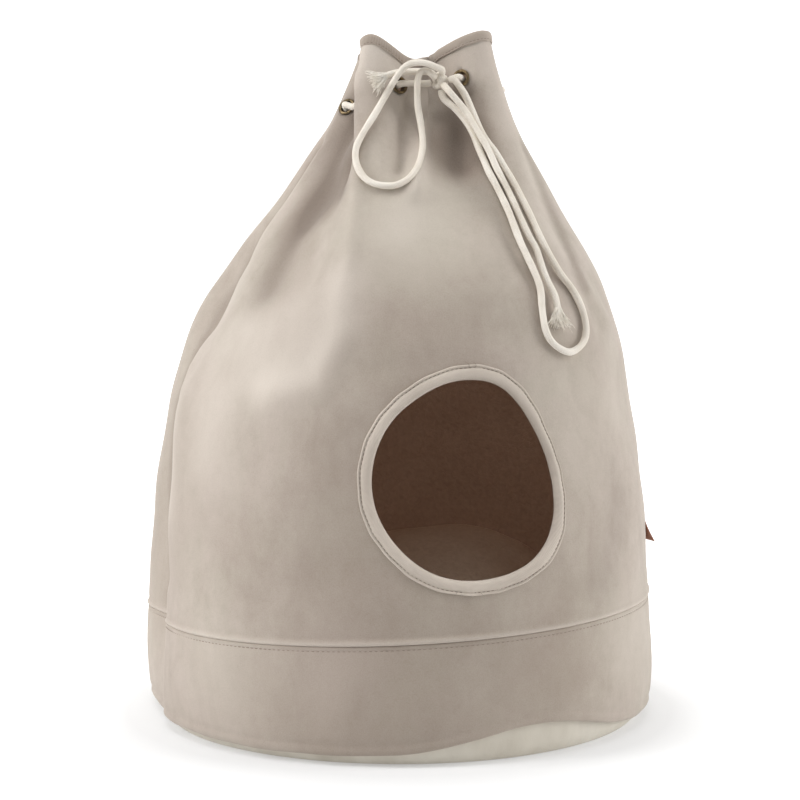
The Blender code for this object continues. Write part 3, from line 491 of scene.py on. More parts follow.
def along_lines(table, azimuth, z):
    """Sum of a table of routes at points of the wall. Each fades out from its size over its width."""
    total = np.zeros(len(z))
    round_radius = np.interp(z, PROFILE_TABLE[:, 0], PROFILE_TABLE[:, 1])
    for line, size, width in table:
        nearest = np.full(len(z), 1.0)
        for (a0, z0), (a1, z1) in zip(line, line[1:]):
            px = np.radians(angle_apart(azimuth, a0)) * round_radius
            pz = z - z0
            sx = math.radians(a1 - a0) * round_radius
            sz = z1 - z0
            t = np.clip((px * sx + pz * sz) / (sx * sx + sz * sz), 0.0, 1.0)
            nearest = np.minimum(nearest, np.hypot(px - t * sx, pz - t * sz))
        total += size * hump(nearest, width * MM)
    return total


def gather_relief(azimuth, z):
    """Small pleats where the cord gathers the neck."""
    near = np.max([hump(angle_apart(azimuth, centre), half) for centre, half in GATHERED], axis=0)
    turn = np.radians(azimuth)
    pleats = np.sin(turn * 360 / GATHER_PERIOD + 0.8 * np.sin(turn * 9))
    return GATHER_SIZE * near * smooth_step(GATHER_FROM, GATHER_TO, z) * pleats


def relief(u, z):
    """How far creases and waves lift the cloth's face. It stays calm at the entry and the eyelets."""
    azimuth = np.degrees(azimuth_of(u, z))
    total = along_lines(CREASES, azimuth, z) * MM + gather_relief(azimuth, z)
    free = smooth_step(0.0, WAVES_RISE, z - SEAM_HEIGHT - SEAM_TILT)
    for around, up, start, size in WAVES:
        total += size * MM * free * np.sin(around * np.radians(azimuth) + 2 * math.pi * up * z + start)
    sideways = np.radians(angle_apart(azimuth, ENTRY_AZIMUTH)) * ENTRY_WALL_RADIUS
    calm = smooth_step(*ENTRY_CALM, np.hypot(sideways, z - ENTRY_HEIGHT))
    points = plain_shell(u, z)
    for seat in SEAT_CENTRES:
        calm = calm * smooth_step(EYELET_RADIUS, EYELET_FADE, np.linalg.norm(points - seat, axis=1))
    return total * calm


# Mesh helpers

def new_object(name, data):
    """A new object in the scene."""
    made = bpy.data.objects.new(name, data)
    bpy.context.scene.collection.objects.link(made)
    return made


def add_object(name, mesh, *finishes):
    """Link a mesh as a named piece with its materials, riding on the one body."""
    for finish in finishes:
        mesh.materials.append(finish)
    mesh.shade_smooth()
    made = new_object(name, mesh)
    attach(made, "root")
    return made


def mesh_from(name, points, faces, groups=None, uvs=None):
    """A mesh from points and faces. groups gives each face's material, uvs each face corner's UV."""
    mesh = bpy.data.meshes.new(name)
    mesh.from_pydata(np.asarray(points).tolist(), [], faces)
    if groups is not None:
        mesh.polygons.foreach_set("material_index", np.asarray(groups, dtype=np.int32))
    if uvs is not None:
        layer = mesh.uv_layers.new(name="UVMap")
        layer.data.foreach_set("uv", np.asarray(uvs, dtype=np.float32).ravel())
    mesh.update()
    return mesh


def turned_out(mesh):
    """The mesh with all its faces looking outwards."""
    work = bmesh.new()
    work.from_mesh(mesh)
    bmesh.ops.recalc_face_normals(work, faces=work.faces)
    work.to_mesh(mesh)
    work.free()
    return mesh


def ring_faces(rows, count, closed_rows=False):
    """Quads between rings of count points each. Returns the faces and each corner's (row, column)."""
    faces, corners = [], []
    last = rows if closed_rows else rows - 1
    for r in range(last):
        for c in range(count):
            cell = ((r, c), (r, c + 1), (r + 1, c + 1), (r + 1, c))
            faces.append([(a % rows) * count + b % count for a, b in cell])
            corners.extend(cell)
    return faces, corners


def loft(name, rings, finish, uv_size=None):
    """A piece skinned over a closed loop of rings. uv_size is the UV step per row and per column."""
    rings = np.asarray(rings)
    faces, corners = ring_faces(*rings.shape[:2], closed_rows=True)
    uvs = None
    if uv_size:
        uvs = [(c * uv_size[1], r * uv_size[0]) for r, c in corners]
    return add_object(name, turned_out(mesh_from(name, rings.reshape(-1, 3), faces, uvs=uvs)), finish)


def ring_round(centre, side, up, radius, count):
    """Points of a circle round a centre, in the plane of two directions."""
    turns = circle(count)[:, None]
    return centre + (side * np.cos(turns) + up * np.sin(turns)) * radius


def tubes_piece(name, tubes, finish):
    """One piece of many closed tubes, each given as its rings of points."""
    points, faces = [], []
    for rings in np.array(tubes):
        rows, sides = rings.shape[:2]
        first = len(points)
        last = first + (rows - 1) * sides
        faces += [[first + i for i in face] for face in ring_faces(rows, sides)[0]]
        faces.append(range(first + sides - 1, first - 1, -1))
        faces.append(range(last, last + sides))
        points.extend(rings.reshape(-1, 3))
    return add_object(name, mesh_from(name, points, faces), finish)


def side_faces(before, after, start, end, shift):
    """Faces across a sheet's edge, wherever a kept cell meets an open one."""
    r, c = np.nonzero(before != after)
    flip, start, end = before[r, c], start[r, c], end[r, c]
    low, high = np.where(flip, end, start), np.where(flip, start, end)
    return np.stack([high, low, low + shift, high + shift], axis=1)


def sheet_piece(name, outer, inner, keep, *finishes, painted_shading=None):
    """A closed sheet from two grids of points. keep says which cells stay, and cut edges get side faces.

    nap is a grid of how much painted shade (below 0) or painted highlight the cloth's face gets at each
    point.
    """
    here = np.arange(outer.shape[0] * outer.shape[1]).reshape(outer.shape[:2])
    right = np.roll(here, -1, axis=1)
    face = np.stack([here[:-1], right[:-1], right[1:], here[1:]], axis=-1)[keep]
    padded = np.pad(keep, ((1, 1), (0, 0)))
    side = np.concatenate([side_faces(padded[:-1], padded[1:], here, right, here.size),
                           side_faces(np.roll(keep, 1, axis=1), keep, here[1:], here[:-1], here.size)])
    faces = np.concatenate([face, face[:, ::-1] + here.size, side])
    groups = np.repeat([0, 1, 0], [len(face), len(face), len(side)]) if len(finishes) > 1 else None
    used, faces = np.unique(faces, return_inverse=True)
    points = np.concatenate([outer.reshape(-1, 3), inner.reshape(-1, 3)])[used]
    mesh = mesh_from(name, points, faces.reshape(-1, 4).tolist(), groups)
    if painted_shading is not None:
        layer = mesh.attributes.new("painted_shading", "FLOAT", "POINT")
        layer.data.foreach_set("value", np.tile(painted_shading.ravel(), 2)[used].astype(np.float32))
    return add_object(name, mesh, *finishes)


def cell_mean(grid):
    """Mean of each cell's four corners, on a grid whose columns run round the body."""
    wide = np.roll(grid, -1, axis=1)
    return (grid[:-1] + grid[1:] + wide[:-1] + wide[1:]) / 4


def corners_of(cells):
    """Which points of the grid are corners of the marked cells."""
    wide = cells | np.roll(cells, 1, axis=1)
    return np.pad(wide, ((0, 1), (0, 0))) | np.pad(wide, ((1, 0), (0, 0)))


def axis_matrix(centre, direction):
    """A frame at a point, with its Z along a direction and its Y as near to upright as it can be."""
    z_axis = Vector(direction).normalized()
    x_axis = Vector((0, 0, 1)).cross(z_axis).normalized()
    y_axis = z_axis.cross(x_axis)
    made = Matrix((x_axis, y_axis, z_axis)).transposed().to_4x4()
    made.translation = Vector(centre)
    return made


def by_distance(table, distance):
    """Read a table of (distance in mm, height in mm) at distances in metres."""
    table = np.array(table) * MM
    return np.interp(distance, table[:, 0], table[:, 1])


# Cloth pieces

# How far the rim's tape covers the wall's upper edge
RIM_COVER = 2.4 * MM
# The inner face follows this share of the outer face's relief
INNER_RELIEF = 0.8
# Rows of the band's mesh at its lower edge and under its seam: distances in mm
BAND_FOOT_ROWS = (0.0, 0.4, 0.8, 1.5, 2.2, 3.5, 5.0, 6.5, 8.0, 8.8, 9.6, 11.5, 14.0)
BAND_HEAD_ROWS = (10.0, 8.0, 6.5, 5.4, 4.4, 3.8, 3.2, 2.4, 1.5, 0.7, 0.0)
# Section of the canvas from under the base to its turned-in edge.
# columns: height, distance in from the cloth, in millimetres
BASE_SECTION = (
    (0.0, 8.0), (0.0, 3.5), (0.7, 2.2), (2.2, 1.2), (4.5, 0.4), (8.0, 0.0), (11.0, -0.1), (14.0, 0.0),
    (18.0, 0.0), (24.0, 0.0), (30.0, 0.0), (36.0, 0.0), (36.0, 3.0), (28.0, 3.0), (14.0, 3.0), (6.5, 6.0),
    (4.0, 15.0),
)
BASE_FINER = 4
BASE_INSET = CLOTH + 1.3 * MM


def entry_swell(angles):
    """How far the hole's edge lies outside a true ellipse, at angles round it."""
    degrees = np.degrees(angles)
    return sum(size * MM * hump(angle_apart(degrees, at), spread) for at, size, spread in ENTRY_SWELLS)


def grid_u_for_entry(u, heights):
    """Move grid points near the entry's edge onto it. Returns u, heights and which cells stay."""
    grid_u = np.tile(u, (len(heights), 1))
    azimuth = np.degrees(azimuth_of(grid_u.reshape(-1), heights.reshape(-1))).reshape(heights.shape)
    half_width, half_height = ENTRY_HALF_WIDTH + ENTRY_EDGE, ENTRY_HALF_HEIGHT + ENTRY_EDGE
    x = np.radians(angle_apart(azimuth, ENTRY_AZIMUTH)) * ENTRY_WALL_RADIUS
    y = heights - ENTRY_HEIGHT
    swell = 0.0
    for _ in range(4):
        swell = entry_swell(np.arctan2(y / (half_height + swell), x / (half_width + swell)))
    size = np.hypot(x / (half_width + swell), y / (half_height + swell))
    keep = cell_mean(size) > 1.0
    r, c = np.nonzero(corners_of(keep) & corners_of(~keep))
    turned = ENTRY_AZIMUTH + np.degrees(x[r, c] / size[r, c] / ENTRY_WALL_RADIUS)
    heights = heights.copy()
    heights[r, c] = ENTRY_HEIGHT + y[r, c] / size[r, c]
    grid_u[r, c] = line_position(turned, heights[r, c])
    return grid_u, heights, keep


def open_eyelets(outer, inner, keep):
    """Cut the eyelet holes out of a sheet's grids, and round their edges."""
    wanted = EYELET_BARREL_RADIUS + SEAT_GAP
    for centre, normal in zip(SEAT_CENTRES, SEAT_NORMALS):
        near = np.linalg.norm(outer - centre, axis=2) < 4 * EYELET_RADIUS
        sideways = np.linalg.norm(from_seat(outer, centre, normal)[1], axis=2)
        cut = cell_mean(np.where(near, sideways, 1.0)) < EYELET_BARREL_RADIUS
        keep &= ~cut
        move = corners_of(cut) & near
        for grid in (outer, inner):
            height, flat = from_seat(grid, centre, normal)
            length = np.linalg.norm(flat, axis=2)
            scale = np.where(move, wanted / np.maximum(length, 1e-6), 1.0)
            grid[...] = centre + height * normal + flat * scale[..., None]
    return keep


def cloth_skins(u, z, lift, outs):
    """Outer and inner points of a cloth over grids of u and height."""
    flat_u, flat_z = u.reshape(-1), z.reshape(-1)
    face = shell(flat_u, flat_z)
    normal = face_normals(shell, flat_u, flat_z)
    outer = face + normal * (lift + outs.reshape(-1))[:, None]
    inner = face + normal * (lift * INNER_RELIEF - CLOTH)[:, None]
    return outer.reshape(*z.shape, 3), inner.reshape(*z.shape, 3)


def wall_heights(low, high):
    """Heights of the wall's rows: close ones over the rolled hem, then even ones up to the rim."""
    hem = np.array([row[0] for row in WALL_HEM]) * MM
    hem = np.unique(np.concatenate([hem, (hem[1:] + hem[:-1]) / 2]))
    shares = np.linspace(0.0, 1.0, WALL_ROWS_TOTAL - len(hem) + 1)[1:]
    return np.array([low + d for d in hem] + [low + hem[-1] + (high - low - hem[-1]) * s for s in shares])


def wall(finish, lining):
    """The tall body and gathered neck, with its rolled hem, the entry and the eyelet holes."""
    u = columns(WALL_FINER)
    low = seam_height(u) + SEAM_GAP
    heights = wall_heights(low, rim_height(u) - RIM_COVER)
    outs = by_distance(WALL_HEM, heights - low)
    grid_u, heights, keep = grid_u_for_entry(u, heights)
    flat_u, flat_z = grid_u.reshape(-1), heights.reshape(-1)
    outer, inner = cloth_skins(grid_u, heights, relief(flat_u, flat_z), outs)
    keep = open_eyelets(outer, inner, keep)
    # Painted shade along the folds and painted highlight on ridges and lit faces
    painted_shading = along_lines(PAINTED_SHADING_LINES, np.degrees(azimuth_of(flat_u, flat_z)), flat_z)
    # Painted highlight along the rolled hem over the band
    painted_shading = painted_shading + HEM_HIGHLIGHT * hump((heights - low).reshape(-1), HEM_HIGHLIGHT_WIDTH)
    piece = sheet_piece("wall_cloth", outer, inner, keep, finish, lining, painted_shading=painted_shading)
    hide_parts("wall_panel")
    return piece


def band_heights(low, high):
    """Heights of the band's rows: close ones over both turned edges, even ones between."""
    foot, head = np.array(BAND_FOOT_ROWS) * MM, np.array(BAND_HEAD_ROWS) * MM
    shares = np.linspace(0.0, 1.0, BAND_ROWS_TOTAL - len(foot) - len(head) + 2)[1:-1]
    rows = [low + d for d in foot]
    rows += [low + foot[-1] + (high - low - foot[-1] - head[0]) * s for s in shares]
    rows += [high - d for d in head]
    return np.array(rows)


def band(finish, lining):
    """The lower strip with its turned edges."""
    u = columns(BAND_FINER)
    low, high = band_edge(u), seam_height(u) - SEAM_GAP
    heights = band_heights(low, high)
    outs = by_distance(BAND_HEM, heights - low) + by_distance(BAND_HEAD, high - heights)
    grid_u = np.tile(u, (len(heights), 1))
    flat_z = heights.reshape(-1)
    turn = azimuth_of(grid_u.reshape(-1), flat_z)
    waves = 0.5 * MM * np.sin(9 * turn + 40 * flat_z) + 0.35 * MM * np.sin(23 * turn - 25 * flat_z + 1.0)
    waves *= smooth_step(0.0, WAVES_RISE, SEAM_HEIGHT - flat_z)
    outer, inner = cloth_skins(grid_u, heights, waves, outs)
    keep = np.ones((len(heights) - 1, len(u)), dtype=bool)
    piece = sheet_piece("band_cloth", outer, inner, keep, finish, lining)
    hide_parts("base_band")
    return piece


def base(finish):
    """The cream canvas bottom, whose edge turns up inside the band in a soft roll."""
    u = columns(BASE_FINER)
    turn = azimuth_of(u, np.full(len(u), 0.01))
    wave = 0.45 * MM * np.sin(31 * turn) + 0.3 * MM * np.sin(53 * turn + 2.0)
    rings = []
    for height, depth in BASE_SECTION:
        moved = wave * float(2 < height < 30) - BASE_INSET - depth * MM
        ring = shell_offset(u, np.full(len(u), height * MM), moved)
        ring[:, 2] = height * MM
        rings.append(ring)
    rings = np.array(rings)
    rows, count = rings.shape[:2]
    faces = ring_faces(rows, count)[0]
    points = np.concatenate([rings.reshape(-1, 3), [[0, 0, 0], [0, 0, BASE_SECTION[-1][0] * MM]]])
    bottom, top, last = rows * count, rows * count + 1, (rows - 1) * count
    for c in range(count):
        right = (c + 1) % count
        faces += [[right, c, bottom], [last + c, last + right, top]]
    piece = add_object("base_canvas", turned_out(mesh_from("base_canvas", points, faces)), finish)
    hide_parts("base_panel")
    return piece


# Bindings. Sections are closed, with columns for the way along the cloth and out of its face, in millimetres.

ENTRY_SECTION = (
    (11.3, 0.35), (11.5, 0.9), (11.2, 1.5), (10.6, 1.85), (9.9, 1.75), (9.35, 1.15), (9.0, 0.8),
    (8.6, 1.05), (7.8, 1.8), (6.6, 2.2), (5.0, 2.38), (3.4, 2.3), (2.0, 1.85), (1.0, 1.1), (0.4, 0.1),
    (0.05, -1.2), (0.0, -2.4), (0.2, -3.8), (0.8, -5.2), (2.0, -6.3), (3.6, -6.65), (6.0, -6.4),
    (8.6, -6.0), (8.8, -5.5), (8.6, -5.0), (5.0, -4.9), (2.3, -4.8), (1.9, -3.5), (1.9, -1.0), (1.9, 0.35),
    (5.0, 0.4),
)
ENTRY_TURNS = 240
# Where the entry's tape is pulled narrow: angle round the entry and spread in degrees, share of its width
ENTRY_NARROW = (8.0, 34.0, 0.40)
# Where the entry tape's two ends lap: angle round the entry in degrees, half width in degrees, lift in mm
ENTRY_LAP = (-91.0, 3.4, 0.9)
RIM_SECTION = (
    (-9.0, 0.4), (-9.2, 0.9), (-9.0, 1.4), (-8.2, 1.6), (-7.4, 1.35), (-6.6, 1.65), (-4.5, 1.95),
    (-2.5, 1.95), (-1.2, 1.65), (-0.4, 0.9), (0.0, -0.4), (0.1, -2.0), (0.0, -3.6), (-0.4, -4.9),
    (-1.2, -5.6), (-2.6, -5.9), (-6.0, -5.8), (-9.0, -5.4), (-9.2, -5.0), (-9.0, -4.6),
    (-5.0, -4.5), (-2.0, -4.4), (-1.9, -2.0), (-1.9, 0.3), (-5.0, 0.4),
)
RIM_FINER = 9
# UV step from one point of a section to the next, and the lengths that count as one step round a tape
TAPE_UV = 0.02
ENTRY_TAPE_RADIUS = 0.08
RIM_TAPE_LENGTH = 0.44


def tape_width(angles):
    """How wide the entry's tape is drawn, as a share: it is pulled narrow at the right."""
    at, spread, share = ENTRY_NARROW
    return 1 - share * hump(angle_apart(np.degrees(angles), at), spread)


def entry_point(angles, along, out):
    """Points round the entry: along the cloth from the hole's edge, and out of its face."""
    along = along + entry_swell(angles)
    z = ENTRY_HEIGHT + (ENTRY_HALF_HEIGHT + along) * np.sin(angles)
    turn = np.degrees((ENTRY_HALF_WIDTH + along) * np.cos(angles) / ENTRY_WALL_RADIUS)
    return shell_offset(line_position(ENTRY_AZIMUTH + turn, z), z, out)


def entry_tape(finish):
    """Tape folded over the edge of the entry, with its outer welt, stitched groove and lapped ends."""
    angles = circle(ENTRY_TURNS)
    at, half_width, lift = ENTRY_LAP
    apart = np.abs(angle_apart(np.degrees(angles), at))
    lap = lift * MM * (1 - smooth_step(half_width * 0.8, half_width, apart))
    pull = 0.22 * MM * np.sin(angles * 23 + 0.7 * np.sin(5 * angles)) + 0.18 * MM * np.sin(angles * 9 + 1.0)
    rings = []
    for along, out in ENTRY_SECTION:
        side = 1.0 if out > -2.4 else -1.0
        raised = out * MM + side * (lap + pull * 0.6)
        rings.append(entry_point(angles, along * MM * tape_width(angles) + pull * (along > 8), raised))
    step = 2 * math.pi * ENTRY_TAPE_RADIUS / ENTRY_TURNS / TAPE_UV
    piece = loft("entry_tape", rings, finish, uv_size=(TAPE_UV, step))
    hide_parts("entry_binding")
    return piece


def rim_tape(finish):
    """Tape folded over the rim, puckered where the cord gathers the neck."""
    u = columns(RIM_FINER)
    rim = rim_height(u)
    lift = relief(u, rim)
    turn = azimuth_of(u, rim)
    pucker = 0.25 * MM * np.sin(37 * turn + np.sin(7 * turn))
    rings = []
    for along, out in RIM_SECTION:
        side = 1.0 if out > -2 else -1.0
        height = rim + along * MM + pucker * float(along < -5)
        rings.append(shell_offset(u, height, out * MM + lift + side * pucker * 0.3))
    piece = loft("rim_tape", rings, finish, uv_size=(TAPE_UV, RIM_TAPE_LENGTH / len(u) / TAPE_UV))
    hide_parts("top_binding")
    return piece


# Stitches and threads

STITCH_SIDES = 6
# Shares of a stitch's length, and its thickness and depth under the cloth there
STITCH_SHAPE = ((0.0, 0.25, -1.2), (0.12, 0.8, -0.4), (0.3, 1.0, 0.15), (0.5, 1.0, 0.3), (0.7, 1.0, 0.15),
                (0.88, 0.8, -0.4), (1.0, 0.25, -1.2))
# Length, gap and radius of a row's stitches, in mm
SEAM_STITCH = (3.4, 0.9, 0.32)
ENTRY_STITCH = (2.9, 0.9, 0.28)
RIM_STITCH = (2.6, 0.9, 0.25)
# Where each row runs: below the seam, out from the hole's edge and below the rim
SEAM_STITCH_DROP = 3.9 * MM
ENTRY_STITCH_ALONG = 9.0 * MM
RIM_STITCH_DROP = 7.4 * MM
# Loose threads. columns: angle round the entry in degrees, length in mm, lean sideways, radius in mm
TAILS = ((87.0, 5.4, 0.7, 0.2), (83.0, 5.0, 0.55, 0.2), (-84.0, 4.0, 0.6, 0.15), (-97.0, 3.5, -0.5, 0.15))
TAIL_SIDES = 5
TAIL_RINGS = 9


def stitch_row(name, points, normals, finish, size):
    """A row of sewn stitches that follows points on the cloth, each dipping into it at both ends."""
    length, gap, radius = (value * MM for value in size)
    run = run_lengths(points)
    tubes = []
    for start in np.arange(0.0, run[-1] - length, length + gap):
        way = unit(on_line(points, run, start + length) - on_line(points, run, start))
        rings = []
        for share, width, depth in STITCH_SHAPE:
            normal = on_line(normals, run, start + share * length)
            centre = on_line(points, run, start + share * length) + normal * depth * radius
            rings.append(ring_round(centre, np.cross(way, normal), normal, radius * width, STITCH_SIDES))
        tubes.append(rings)
    return tubes_piece(name, tubes, finish)


def closed_columns(finer):
    """The u of every mesh column, with the first again at the end."""
    u = columns(finer)
    return np.append(u, u[0] + LINE_COUNT)


def seam_stitches(finish):
    """The topstitching just under the rolled seam, on the band."""
    u = closed_columns(8)
    z = seam_height(u) - SEAM_STITCH_DROP
    points = shell_offset(u, z, -0.45 * MM)
    return stitch_row("seam_stitches", points, face_normals(shell, u, z), finish, SEAM_STITCH)


def entry_stitches(finish):
    """Stitches in the groove of the entry's tape."""
    angles = np.linspace(0.0, 2 * math.pi, ENTRY_TURNS + 1)
    along = ENTRY_STITCH_ALONG * tape_width(angles)
    points = entry_point(angles, along, 0.95 * MM)
    normals = unit(entry_point(angles, along, 2.0 * MM) - points)
    return stitch_row("entry_stitches", points, normals, finish, ENTRY_STITCH)


def rim_stitches(finish):
    """Stitches along the lower edge of the rim's tape."""
    u = closed_columns(RIM_FINER)
    z = rim_height(u) - RIM_STITCH_DROP
    points = shell_offset(u, z, 1.45 * MM + relief(u, rim_height(u)))
    return stitch_row("rim_stitches", points, face_normals(shell, u, z), finish, RIM_STITCH)


def thread_tails(finish):
    """Loose sewing threads at the top and foot of the entry, which stand clear of the cloth."""
    tubes = []
    for degrees, length, lean, radius in TAILS:
        angle = np.array([math.radians(degrees)])
        root = entry_point(angle, 9.4 * MM, 1.3 * MM)[0]
        out = unit(entry_point(angle, 9.4 * MM, 2.3 * MM)[0] - root)
        way = unit(entry_point(angle, 12.4 * MM, 1.3 * MM)[0] - root)
        side = np.cross(out, way)
        rings = []
        for t in np.linspace(0.0, 1.0, TAIL_RINGS):
            bend = way * t * 0.8 + side * lean * t * t + out * 0.35 * math.sin(math.pi * t)
            rings.append(ring_round(root + bend * length * MM, side, out, radius * MM, TAIL_SIDES))
        tubes.append(rings)
    return tubes_piece("thread_tails", tubes, finish)


# Eyelets

# Section of an eyelet: radius and height over the wall's outer face, in millimetres
EYELET_SECTION = (
    (6.0, 1.36), (7.2, 1.38), (7.85, 1.45), (8.0, 1.65), (7.9, 1.95), (7.5, 2.3), (6.95, 2.55), (6.4, 2.63),
    (5.9, 2.5), (5.5, 2.15), (5.3, 1.7), (5.22, 1.1), (5.2, 0.0), (5.2, -2.5), (5.2, -5.0), (5.35, -5.7),
    (5.7, -5.95), (6.6, -5.95), (7.2, -5.85), (7.4, -5.6), (7.2, -5.4), (6.0, -5.36), (6.0, -3.0), (6.0, 0.0),
)
EYELET_TURNS = 56


def eyelets(finish):
    """The eight brass eyelets, each with a rolled flange and a barrel through the cloth."""
    for number, (centre, normal) in enumerate(zip(SEAT_CENTRES, SEAT_NORMALS), 1):
        place = axis_matrix(centre, normal)
        rings = [[tuple(place @ (Vector((r * math.cos(a), r * math.sin(a), h)) * MM))
                  for a in circle(EYELET_TURNS)] for r, h in EYELET_SECTION]
        piece = loft("brass_eyelet_%d" % number, rings, finish)
        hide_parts("eyelet_%d" % number)


# Drawstring

# Any direction that no cord starts along, from which its frames are built
FRAME_START = (0.31, 0.17, 0.93)
# How often a bow's strand and the neck's cord are smoothed
BOW_SOFTENED = 14
NECK_SOFTENED = 6


def smooth_route(points, step):
    """Points a step apart along a smooth curve through route points. Each route point is kept."""
    points = [Vector(p) for p in points]
    ends = [points[0] * 2 - points[1]] + points + [points[-1] * 2 - points[-2]]
    made = []
    for before, start, end, after in zip(ends, ends[1:], ends[2:], ends[3:]):
        count = max(1, round((end - start).length / step))
        for i in range(count):
            t = i / count
            made.append(0.5 * (2 * start + (end - before) * t
                               + (2 * before - 5 * start + 4 * end - after) * t ** 2
                               + (3 * start - before - 3 * end + after) * t ** 3))
    return made + [points[-1]]


def even_route(points, step):
    """The same smooth curve, with its points the same distance apart."""
    fine = np.array(smooth_route(points, 0.5 * MM))
    run = run_lengths(fine)
    return on_line(fine, run, np.linspace(0.0, run[-1], max(2, round(run[-1] / step)) + 1))


def soften(points, times):
    """Smooth a run of points a little, with its ends kept."""
    points = np.array(points)
    for _ in range(times):
        points[1:-1] = points[1:-1] * 0.5 + (points[:-2] + points[2:]) * 0.25
    return points


def from_knot(leaf, lead=0.0):
    """Where a strand meets the knot, or a short way out from there."""
    return (Vector(KNOT) + Vector(LEAVES[leaf]).normalized() * (KNOT_RADIUS + KNOT_STAND_OFF + lead)) * MM


def bow_strand(points, start, end=None):
    """A bow strand's points, from the knot and, for a loop, back to it."""
    made = [from_knot(start), from_knot(start, KNOT_LEAD)] + [Vector(p) * MM for p in points]
    if end:
        made += [from_knot(end, KNOT_LEAD), from_knot(end)]
    return soften(even_route(made, CORD_STEP), BOW_SOFTENED)


def neck_route():
    """The cord's way round the neck: in and out through the eyelets, with both ends at the knot."""
    made = [from_knot("neck_left"), from_knot("neck_left", KNOT_LEAD)]
    side = 1
    last = None
    for index in CORD_ORDER:
        centre = Vector(SEAT_CENTRES[index])
        normal = Vector(SEAT_NORMALS[index])
        middle = centre - normal * (CLOTH / 2)
        if last is not None:
            made.append((last + middle) / 2)
        made.append(middle + normal * EYELET_REACH * side)
        made.append(middle - normal * EYELET_REACH * side)
        last = made[-1]
        side = -side
    made += [from_knot("neck_right", KNOT_LEAD / 2), from_knot("neck_right")]
    return soften(even_route(made, CORD_STEP), NECK_SOFTENED)


def cord_frames(points):
    """Two sideways directions at each point of a line, which turn with it but never twist."""
    ways = unit(np.gradient(points, axis=0))
    side = np.cross(ways[0], FRAME_START)
    sides = []
    for way in ways:
        side = unit(side - way * side.dot(way))
        sides.append(side)
    sides = np.array(sides)
    return ways, sides, np.cross(ways, sides)


def braided_cord(name, points, finish, cap_out=0.6):
    """A round braided cord along points, whose face rises and dips where its yarns cross."""
    ways, across, over = cord_frames(points)
    run = run_lengths(points)
    turns = circle(CORD_SIDES)
    phase = run[:, None] * 2 * math.pi / (BRAID_PITCH / 4)
    yarns = BRAID_STRANDS / 2 * turns
    braid = np.cos(yarns + phase) * np.cos(yarns - phase)
    wander = 0.10 * MM * np.sin(run * 210 + 1.0) + 0.07 * MM * np.sin(run * 97)
    radius = DRAWN_RADIUS - 0.05 * MM + BRAID_DEPTH * (braid - 0.35) + wander[:, None]
    sideways = np.cos(turns)[:, None] * across[:, None, :] + np.sin(turns)[:, None] * over[:, None, :]
    rings = points[:, None, :] + radius[:, :, None] * sideways
    rows, count = rings.shape[:2]
    faces, corners = ring_faces(rows, count)
    around = 2 * math.pi * DRAWN_RADIUS
    uvs = [(c / count, run[r] / around) for r, c in corners]
    verts = list(rings.reshape(-1, 3))
    for row, order in ((0, -1), (rows - 1, 1)):
        verts.append(points[row] + ways[row] * order * cap_out * MM)
        for c in range(count):
            pair = (row * count + c, row * count + (c + 1) % count)
            faces.append([*pair[::order], len(verts) - 1])
            uvs.extend([(c / count, 0.0)] * 3)
    return add_object(name, mesh_from(name, verts, faces, uvs=uvs), finish)


# The knot's turns of cord. columns: half width and half height in mm, direction of the turn's axis,
# shift from the knot's centre in mm
KNOT_TURNS = (
    (5.0, 5.6, (0.93, -0.25, 0.28), (0.6, 0.0, 0.2)),
    (4.4, 4.6, (0.45, 0.55, 0.70), (-0.9, -0.6, 0.8)),
    (4.2, 4.8, (0.62, 0.20, -0.76), (-0.6, 0.2, -0.9)),
)
KNOT_TURN_POINTS = 150


def knot(finish):
    """The bow's knot: one fat turn of cord over two crossed ones."""
    centre = np.array(KNOT) * MM
    pieces = []
    for number, (wide, high, axis, shift) in enumerate(KNOT_TURNS, 1):
        place = axis_matrix((0, 0, 0), axis).to_3x3()
        line = [tuple(place @ Vector((wide * math.cos(a), high * math.sin(a), 0.7 * math.sin(2 * a))))
                for a in np.linspace(0.0, 2 * math.pi, KNOT_TURN_POINTS)]
        points = np.array(line) * MM + centre + np.array(shift) * MM
        pieces.append(braided_cord("knot_turn_%d" % number, points, finish, cap_out=0.0))
    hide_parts("drawstring_knot")
    return pieces


FRAY_STRANDS = 150
FRAY_SIDES = 5
FRAY_RINGS = 9


def fray_line(draw, root, start_way, way, wide, out, lean, length):
    """The curling way of one loose strand, from the cord's end."""
    size = length * draw.uniform(0.66, 1.0)
    curl = np.array([draw.gauss(0, 1.2), draw.gauss(0, 0.9), draw.gauss(0, 1.2)]) * MM
    wave, start = draw.uniform(2.0, 6.0), draw.uniform(0, 6.0)
    line = []
    for t in np.linspace(0.0, 1.0, FRAY_RINGS):
        blend = min(1.0, t * 2.5)
        heading = start_way * (1 - blend) + way * blend
        place = root + heading * size * t + lean * size * t ** 1.3 + curl * t * t
        sway = wide * math.sin(wave * t * 3 + start) + out * math.cos(wave * t * 2.4)
        line.append(place + sway * 0.6 * MM * t)
    return np.array(line)


